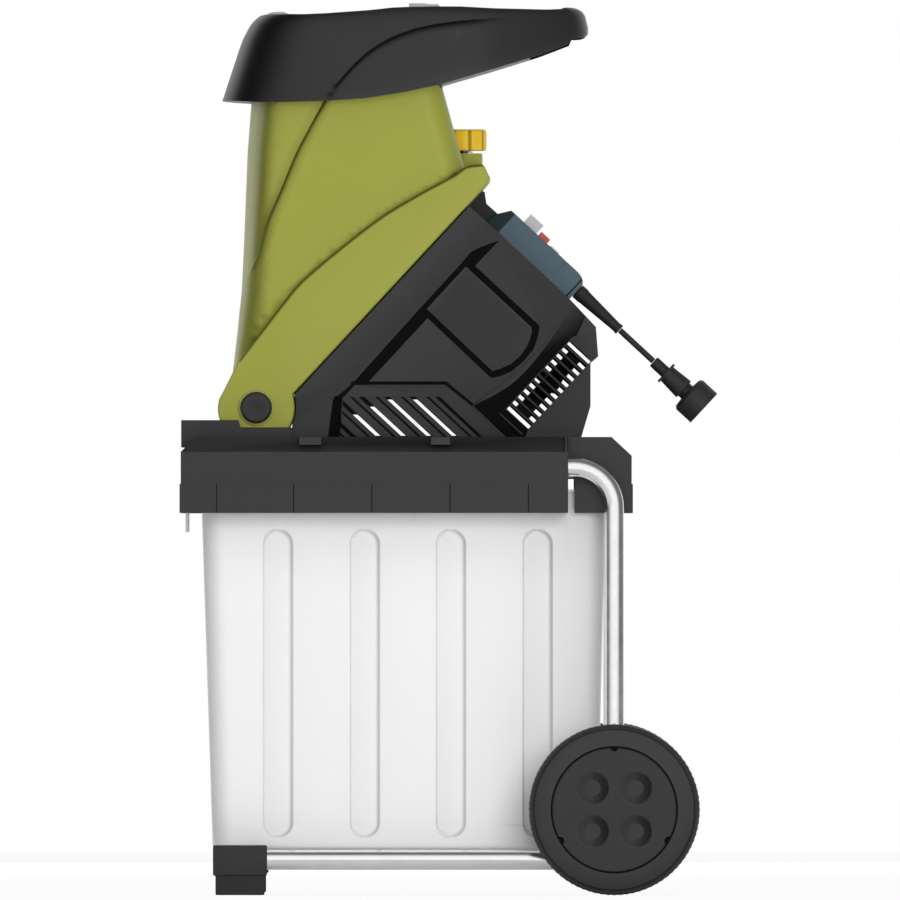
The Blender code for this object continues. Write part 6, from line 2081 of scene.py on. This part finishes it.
@dataclass
class Housing:
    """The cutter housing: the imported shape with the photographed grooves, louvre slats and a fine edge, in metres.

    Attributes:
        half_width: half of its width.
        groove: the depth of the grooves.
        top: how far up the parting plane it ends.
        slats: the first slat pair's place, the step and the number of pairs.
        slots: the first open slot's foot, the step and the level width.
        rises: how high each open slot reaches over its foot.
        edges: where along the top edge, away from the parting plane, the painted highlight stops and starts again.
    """

    half_width: float = 0.118
    groove: float = 0.0032
    top: float = 0.25797
    slats: tuple[float, float, int] = (-0.1388, 0.0255, 8)
    slots: tuple[float, float, float] = (-0.0623, 0.0255, 0.0050)
    rises: tuple[float, ...] = (0.0212, 0.0292, 0.0364, 0.0364)
    edges: Point = (0.0400, 0.1245)

    PARTING = (
        (47.9, 36.3), (150.5, 34.8), (209, 34.6), (225.4, 33.8), (233.8, 36.9), (253.7, 46.9), (217.9, 46.3),
        (211, 40.0), (153.6, 40.2), (147.3, 47.1), (60.2, 47.1),
    )
    LOOP_OUTER = (
        (147.3, 39), (217.9, 39), (217.9, 130.5), (217.2, 135.0), (213.6, 137.6), (209.2, 140.4), (197.4, 145.8),
        (182.0, 147.0), (165.0, 144.9), (154.2, 139.9), (146.4, 134.6),
    )
    LOOP_INNER = (
        (153.6, 30), (211.2, 30), (211.2, 129.4), (208.6, 132.6), (203.4, 135.6), (194.6, 139.2), (183.0, 140.8),
        (170.4, 139.4), (160.3, 135.2), (152.6, 130.6),
    )
    LEDGE_GROOVE = (
        (-87.9, 513.6), (6.8, 513.6), (33.8, 491.2), (33.0, 488.4), (5.2, 510.2), (-90.0, 510.2),
    )
    STRIP = (
        (-87.4, 511.2), (-85.5, 513.3), (-71.0, 513.3), (-71.0, 510.2), (-85.1, 509.8), (-96.3, 497.4), (-97.3, 494.8),
        (-101.3, 457.0), (-111.9, 457.0), (-107.0, 495.2),
    )
    NOTCH_FILL = ((-99.5, 497.0), (-99.5, 512.5), (-84.0, 512.5), (-85.1, 509.9), (-96.0, 498.0))
    FRAME = ((-101.0, 450.0), (-97.0, 488.0), (-97.0, 498.2), (0.4, 498.2), (47.0, 454.0))
    LOUVRE_FOOT = 0.4598
    SLAT_FOOT = 0.45815
    LUG_HALF = 0.018
    LUG_BACK = ((256, 6), (271.8, 6), (272.2, 27.6), (270.2, 25.85), (258.3, 24.9), (256, 24.9))

    def painted_shade_and_highlight(self, point: Vector) -> float:
        """Paints shade in the grooves and a highlight on the fine edge along the top."""
        depth = self.half_width - abs(point.y)
        if 0.0027 < depth < 0.0105:
            return 0.97
        u, n = unslant(point)
        # Painted highlight along the top edge.
        if u > self.top - 0.0006 and depth < 0.0008 and not self.edges[0] < n < self.edges[1]:
            return -0.55
        return 0.0

    def slat_pair(self) -> Shape:
        """Makes a wide and a narrow slat beside the origin, as blocks across both louvres."""
        lean, low, high = math.tan(SLANT), 0.452, 0.500
        pair = Solid(prism(self.leaning(0.0028, 0.0136, lean, low, high), -self.half_width, self.half_width))
        pair.join(prism(self.leaning(0.0166, 0.0224, lean, low, high), -self.half_width, self.half_width))
        return pair.shape()

    def leaning(self, start: float, stop: float, lean: float, low: float, high: float) -> list[Point]:
        """Draws a leaning bar, with its width measured level with the louvre's foot."""
        corners = ((start, low), (stop, low), (stop, high), (start, high))
        return [(x - lean * (z - self.LOUVRE_FOOT), z) for x, z in corners]

    def build(self, make: Maker, row: bpy.types.GeometryNodeTree) -> None:
        """Makes the housing.

        Args:
            make: the maker of pieces.
            row: the row pattern.
        """
        w, floor = self.half_width, self.half_width - self.groove
        body = Solid(node_copy("cutter_housing"))
        patch = slanted((257.4, 30), (257.4, 136.8), (230, 145.6), (208, 148.6), (165, 146.6), (118, 138.4))
        patch += mm((5.2, 511.4), (-95.5, 511.4)) + slanted((52, 30))
        for side in SIDES:
            body.join(prism(patch, *sided(side, floor - 0.0003, w)))
            body.join(prism(mm(*self.NOTCH_FILL), *sided(side, floor - 0.0003, w)))
            outside = sided(side, floor, w + 0.01)
            body.cut(prism(slanted(*self.PARTING), *outside))
            loop = Solid(prism(slanted(*self.LOOP_OUTER), *outside))
            loop.cut(prism(slanted(*self.LOOP_INNER), *sided(side, floor - 0.01, w + 0.02)))
            body.cut(loop.shape())
            body.cut(prism(mm(*self.LEDGE_GROOVE), *outside))
            body.cut(prism(mm(*self.STRIP), *outside))
            body.cut(prism(mm(*self.FRAME), *sided(side, w - 0.0036, w + 0.01)))
        first, step, count = self.slats
        paint = make.paints[Slot.BLACK]
        values = {"Count": count, "Start": (first, 0.0, 0.0), "Step": (step, 0.0, 0.0), "Finish": paint}
        bars = bmesh.new()
        bars.from_mesh(patterned(row, block(*SPECK), self.slat_pair(), values))
        for side in SIDES:
            part = Solid(bars.copy()).keep(prism(mm(*self.FRAME), *sided(side, w - 0.0040, w - 0.0021)))
            part.cut(block((-0.2, -0.2, 0.40), (0.2, 0.2, self.SLAT_FOOT)))
            body.join(part.shape())
        body.join(prism(slanted(*self.LUG_BACK), -self.LUG_HALF, self.LUG_HALF))
        body.join(prism(tile(0.254, 0.2788, 0.0001, 0.003), -self.LUG_HALF, self.LUG_HALF))
        for side in SIDES:
            body.join(prism(slanted((0.5, 0.1), (250, 0.1), (250, 2.0), (2.5, 2.0)), *sided(side, 0.104, 0.112)))
        first, step, width = self.slots
        lean, level = math.tan(SLANT), self.LOUVRE_FOOT
        for i, rise in enumerate(self.rises):
            foot = first + i * step
            line = [(foot - lean * (z - level), z) for z in (0.4592, level + rise)]
            slot = [(x + way * width / 2, z) for way, pair in ((-1, line), (1, line[::-1])) for x, z in pair]
            body.cut(prism(slot, -0.2, 0.2))
        body.soften(0.0005, 1, 38.0)
        name, node = "chipper_housing", "cutter_housing"
        make.piece(name, body.shape(), Slot.BLACK, Body.MACHINE.value, node, 1.0, painted_shade_and_highlight=self.painted_shade_and_highlight)


@dataclass
class Cover:
    """The motor's cover, with its sunk valley and barred vents, in metres.

    Attributes:
        half_width: half of its width.
        wall: its thickness.
        top: how far up the parting plane it ends.
        vent_u: where the vents start and end, up the plane.
        vent_n: where they start and end, away from it.
        bars: the number of bars in a vent.
        bar: the width of a bar.
    """

    half_width: float = 0.114
    wall: float = 0.004
    top: float = 0.25797
    vent_u: Point = (0.1346, 0.2275)
    vent_n: Point = (0.1668, 0.1963)
    bars: int = 11
    bar: float = 0.0037

    VALLEY = (
        (114.4, 140.2), (123, 143.6), (132.8, 147.2), (142, 150.2), (152.8, 153.0), (164, 154.6), (176.7, 155.2),
        (193.2, 154.4), (211, 152.7), (230, 149.8), (248, 144.2), (270, 137.0), (270, 157.0), (254.1, 162.4),
        (235.9, 168.3), (230.7, 165.9), (133.6, 165.9), (133.6, 196.9), (100, 208), (70, 160),
    )
    FLANGE = (
        (253.6, 135.4), (230, 143.3), (208, 146.3), (165, 144.3), (116, 135.4), (116, 145.4), (165, 152.3),
        (208, 154.3), (230, 151.3), (253.6, 143.4),
    )
    BAFFLE = (0.1418, 0.1478, 0.1722, 0.1897)
    RIB = (0.1258, 0.1270, 0.1652, 0.1960)
    TOP_LIP = (0.2543, 0.2576, 0.1378, 0.1402)

    def painted_shade_and_highlight(self, point: Vector) -> float:
        """Paints shade on the valley's floor, least beside the seam at its top, and on the sides of the bars."""
        depth = self.half_width - abs(point.y)
        u, n = unslant(point)
        if self.vent_u[0] < u < self.vent_u[1] and self.vent_n[0] < n < self.vent_n[1] and depth < 0.02:
            return 0.95 if depth > 0.0012 else 0.1
        if not 0.0003 < depth < 0.0036 or point.z < 0.4575:
            return 0.0
        low_part = min(1.0, max(0.0, (u - 0.196) / 0.040))
        across = min(1.0, max(0.0, (n - 0.145) / 0.020))
        return 0.97 * (1.0 - low_part) + low_part * 0.92 * across**1.3

    def build(self, make: Maker, row: bpy.types.GeometryNodeTree) -> None:
        """Makes the cover.

        Args:
            make: the maker of pieces.
            row: the row pattern.
        """
        w, wall, bottom = self.half_width, self.wall, 0.4581
        seam = slanted((1000 * self.top, 138.3), (230, 147.3), (208, 150.3), (165, 148.3), (114, 139.3))
        outline = seam + [(0.0663, bottom), (0.1419, bottom)]
        outline += mm((142.4, 459.8), (151, 488.8), (151, 532.3), (158.7, 538.8), (156.4, 568.1))
        body = Solid(prism(outline, -w, w))
        inner = slanted((1000 * (self.top - wall), 100), (1000 * (self.top - wall), 139))
        inner += mm((152.4, 566.4), (154.5, 540.6), (147, 534.2), (147, 489.4))
        inner += [(0.1395, bottom + wall), (0.0, bottom + wall), (0.0, 0.5)]
        body.cut(prism(inner, wall - w, w - wall))
        (u0, u1), (n0, n1) = self.vent_u, self.vent_n
        body.cut(prism(tile(u0, u1, n0, n1), -0.2, 0.2))
        valley = slanted(*self.VALLEY)
        for side in SIDES:
            rings = []
            for proud in (True, False):
                ring = []
                for (x, z), (u, n) in zip(valley, self.VALLEY):
                    sunk = 0.0006 + 0.0020 * (n - 137.0) / 30.0
                    ring.append((x, side * (w + 0.002 if proud else w - min(sunk, 0.0030)), z))
                rings.append(ring)
            floor = bmesh.new()
            tops, lows = ([floor.verts.new(p) for p in ring] for ring in rings)
            floor.faces.new(tops)
            floor.faces.new(lows[::-1])
            belt(floor, tops, lows)
            bmesh.ops.triangulate(floor, faces=[f for f in floor.faces if len(f.verts) > 4])
            settle(floor)
            body.cut(floor)
        pitch = (u1 - u0 + self.bar) / (self.bars + 1)
        first = u0 + pitch - self.bar
        step = (pitch * math.cos(SLANT), 0.0, pitch * math.sin(SLANT))
        paint = make.paints[Slot.BLACK]
        for side in SIDES:
            values = {"Count": self.bars, "Start": (0.0, 0.0, 0.0), "Step": step, "Finish": paint}
            rows = bmesh.new()
            bar = loft([
                [(x, side * (w - deep), z) for x, z in self.bar_outline(first, thin)]
                for deep, thin in ((wall - 0.0002, 0.0), (0.0026, 0.0), (0.0010, 0.0010))
            ])
            rows.from_mesh(patterned(row, block(*SPECK), bar, values))
            part = Solid(rows).keep(block((-0.4, -0.3, 0.2), (0.4, 0.3, 0.8)))
            part.cut(block((0.49, -0.1, 0.49), (0.51, 0.1, 0.51)))
            body.join(part.shape())
        for side in SIDES:
            body.join(prism(slanted(*self.FLANGE), *sided(side, 0.1042, 0.1103)))
            body.join(prism(tile(*self.BAFFLE), *sided(side, 0.1080, 0.1106)))
            body.join(prism(tile(*self.RIB), *sided(side, w - wall + 0.0002, w - 0.0002)))
        body.join(prism(tile(*self.TOP_LIP), -0.1125, 0.1125))
        body.soften(0.0004, 1, 38.0)
        name, node = "motor_shell", "motor_cover"
        make.piece(name, body.shape(), Slot.BLACK, Body.MACHINE.value, node, 1.0, painted_shade_and_highlight=self.painted_shade_and_highlight)

    def bar_outline(self, first: float, thin: float) -> list[Point]:
        """Draws the first bar of a vent, thinned by an amount on both sides."""
        n0, n1 = self.vent_n
        return tile(first + thin, first + self.bar - thin, n0 - 0.002, n1 + 0.002)


# Knob, switch box and strain relief


@dataclass
class Knob:
    """The lobed clamping knob, in metres.

    Attributes:
        x: where its axis stands.
        radius: over its lobes.
        low: its underside.
        high: its top.
        lobes: the number of lobes.
        turn: where the first groove stands, in degrees from the near side.
    """

    x: float = 0.0244
    radius: float = 0.0228
    low: float = 0.7453
    high: float = 0.7668
    lobes: int = 8
    turn: float = 15.0

    PROFILE = (
        (0.0, 0.90), (0.0004, 0.955), (0.0015, 0.99), (0.003, 1.0), (0.0175, 1.0), (0.0195, 0.985), (0.0208, 0.95),
        (0.0215, 0.90),
    )

    def reach(self, angle: float) -> tuple[float, float]:
        """Tells the radius at an angle, and how deep in a groove it lies.

        Args:
            angle: the angle round the axis, in radians.

        Returns:
            The radius and the share of the groove, 0 to 1.
        """
        step = 2 * math.pi / self.lobes
        start = math.radians(self.turn - 90.0)
        off = (angle - start + step / 2) % step - step / 2
        sunk = math.exp(-((off / 0.085) ** 2))
        return self.radius * (1.0 - 0.075 * sunk - 0.012 * (off / step * 2) ** 2), sunk

    def painted_shade_and_highlight(self, point: Vector) -> float:
        """Paints shade in the grooves between the lobes."""
        share = self.reach(math.atan2(point.y, point.x - self.x))[1]
        out = math.hypot(point.x - self.x, point.y)
        return 0.75 * share**2 if out > self.radius * 0.8 and point.z < self.high - 0.0015 else 0.0

    def build(self, make: Maker) -> None:
        """Makes the knob.

        Args:
            make: the maker of pieces.
        """
        rings = []
        for rise, size in self.PROFILE:
            reaches = [(t, self.reach(t)[0] * size) for t in angles(256)]
            rings.append([(self.x + r * math.cos(t), r * math.sin(t), self.low + rise) for t, r in reaches])
        body = Solid(loft(rings))
        upright = Matrix.Translation((self.x, 0.0, 0.0))
        body.cut(rod(0.0068, self.low - 0.001, self.low + 0.012, 24, upright))
        floor, above = self.high - 0.0012, self.high + 0.001
        groove = [(0.0120, floor), (0.0150, floor), (0.0150, above), (0.0120, above)]
        body.cut(ring_turned(groove, 64, upright))
        make.piece("clamp_knob", body.shape(), Slot.YELLOW, Body.KNOB.value, "knob", 30.0, painted_shade_and_highlight=self.painted_shade_and_highlight)


@dataclass
class SwitchBox:
    """The two halves of the switch box, with the front half's slanted corners, in metres.

    Attributes:
        half_width: half of its width.
        corner: where the slanted corners start, away from the parting plane.
        line: where the groove before the end stands.
    """

    half_width: float = 0.045
    corner: float = 0.0405
    line: float = 0.1338

    def painted_shade_and_highlight(self, point: Vector) -> float:
        """Paints shade on the slanted corners and in the groove."""
        n = unslant(point)[1]
        depth = self.half_width - abs(point.y)
        if n < self.corner - 0.0004 and 0.0002 < depth < 0.02:
            return 0.40
        if abs(n - self.line) < 0.0008 and 0.0002 < depth < 0.003:
            return 0.9
        return 0.0

    def build(self, make: Maker) -> None:
        """Makes both halves.

        Args:
            make: the maker of pieces.
        """
        w, high = self.half_width, 0.35
        front, rear = Solid(node_copy("switch_box")), Solid(node_copy("switch_box_end"))
        corner = slanted((258.9, 27.0), (282.0, 34.6), (282.0, 41.4), (258.9, 41.4))
        for side in SIDES:
            front.join(prism(corner, *sided(side, 0.0285, 0.0440)))
        for side in SIDES:
            rings = []
            for u in (0.2, high):
                points = ((self.corner, w), (self.corner, w + 0.01), (0.01, w + 0.01), (0.01, w - 0.021))
                rings.append([(*slant(u, n), y) for n, y in points])
            front.cut(loft([[(x, side * y, z) for x, z, y in ring] for ring in rings]))
            gap = tile(0.2, high, self.line - 0.0004, self.line + 0.0004)
            rear.cut(prism(gap, *sided(side, w - 0.0008, w + 0.01)))
        for name, node, body in (("switch_case", "switch_box", front), ("switch_case_end", "switch_box_end", rear)):
            body.soften(0.0005, 1, 30.0)
            make.piece(name, body.shape(), Slot.BLUE, Body.MACHINE.value, node, 1.0, painted_shade_and_highlight=self.painted_shade_and_highlight)


@dataclass
class Fittings:
    """The strain relief, in metres.

    Attributes:
        cord_u: how far up the parting plane the lead runs.
        relief: where the relief starts and ends, away from the plane.
    """

    cord_u: float = 0.269975
    relief: Point = (0.1385, 0.196)

    def build(self, make: Maker) -> None:
        """Makes the relief.

        Args:
            make: the maker of pieces.
        """
        start, stop = self.relief
        axis = cutter_axis(self.cord_u)
        wall_in, wall_out = 0.1352, 0.1383
        profile = [
            (0, wall_in - 0.0025), (0.0068, wall_in - 0.0025), (0.0068, wall_in), (0.0057, wall_in),
            (0.0057, wall_out), (0.0074, wall_out), (0.0079, wall_out + 0.0006), (0.0079, start + 0.0076),
            (0.0074, start + 0.009), (0.0049, stop - 0.0036), (0.0054, stop - 0.0030), (0.0054, stop - 0.0004),
            (0.0050, stop), (0, stop),
        ]
        make.piece("cord_relief", turned(profile, 36, axis), Slot.RUBBER, Body.MACHINE.value, "strain_relief", 34.0)


# Assembly


ROUNDED: dict[str, float] = {
    "foot_left": 0.0012,
    "foot_right": 0.0012,
    "plug": 0.0008,
    "start_button": 0.0012,
    "stop_button": 0.0012,
    "reset_button": 0.0006,
    "switch_module": 0.0012,
}


def main() -> None:
    """Builds the studio, the finishes and every piece in order."""
    paints = Paintbox(FINISHES)
    Studio().build()
    make = Maker(paints)
    cord = Cord()
    lead = cord.build(make)
    paints.dress_nodes()
    Hood().build(make)
    FeedColumn().build(make)
    CollectionBox().build(make)
    patterns = Patterns()
    rounds = patterns.round()
    for side in SIDES:
        Wheel(side).build(make, rounds)
    Frame().build(make)
    Base().build(make)
    row = patterns.row()
    Housing().build(make, row)
    Cover().build(make, row)
    Knob().build(make)
    SwitchBox().build(make)
    Fittings().build(make)
    for node in sorted(frame["nodes"]):
        if node not in make.replaced:
            piece = make.refine(node, ROUNDED.get(node, 0.0))
    cord.declare()


if __name__ == "__main__":
    main()
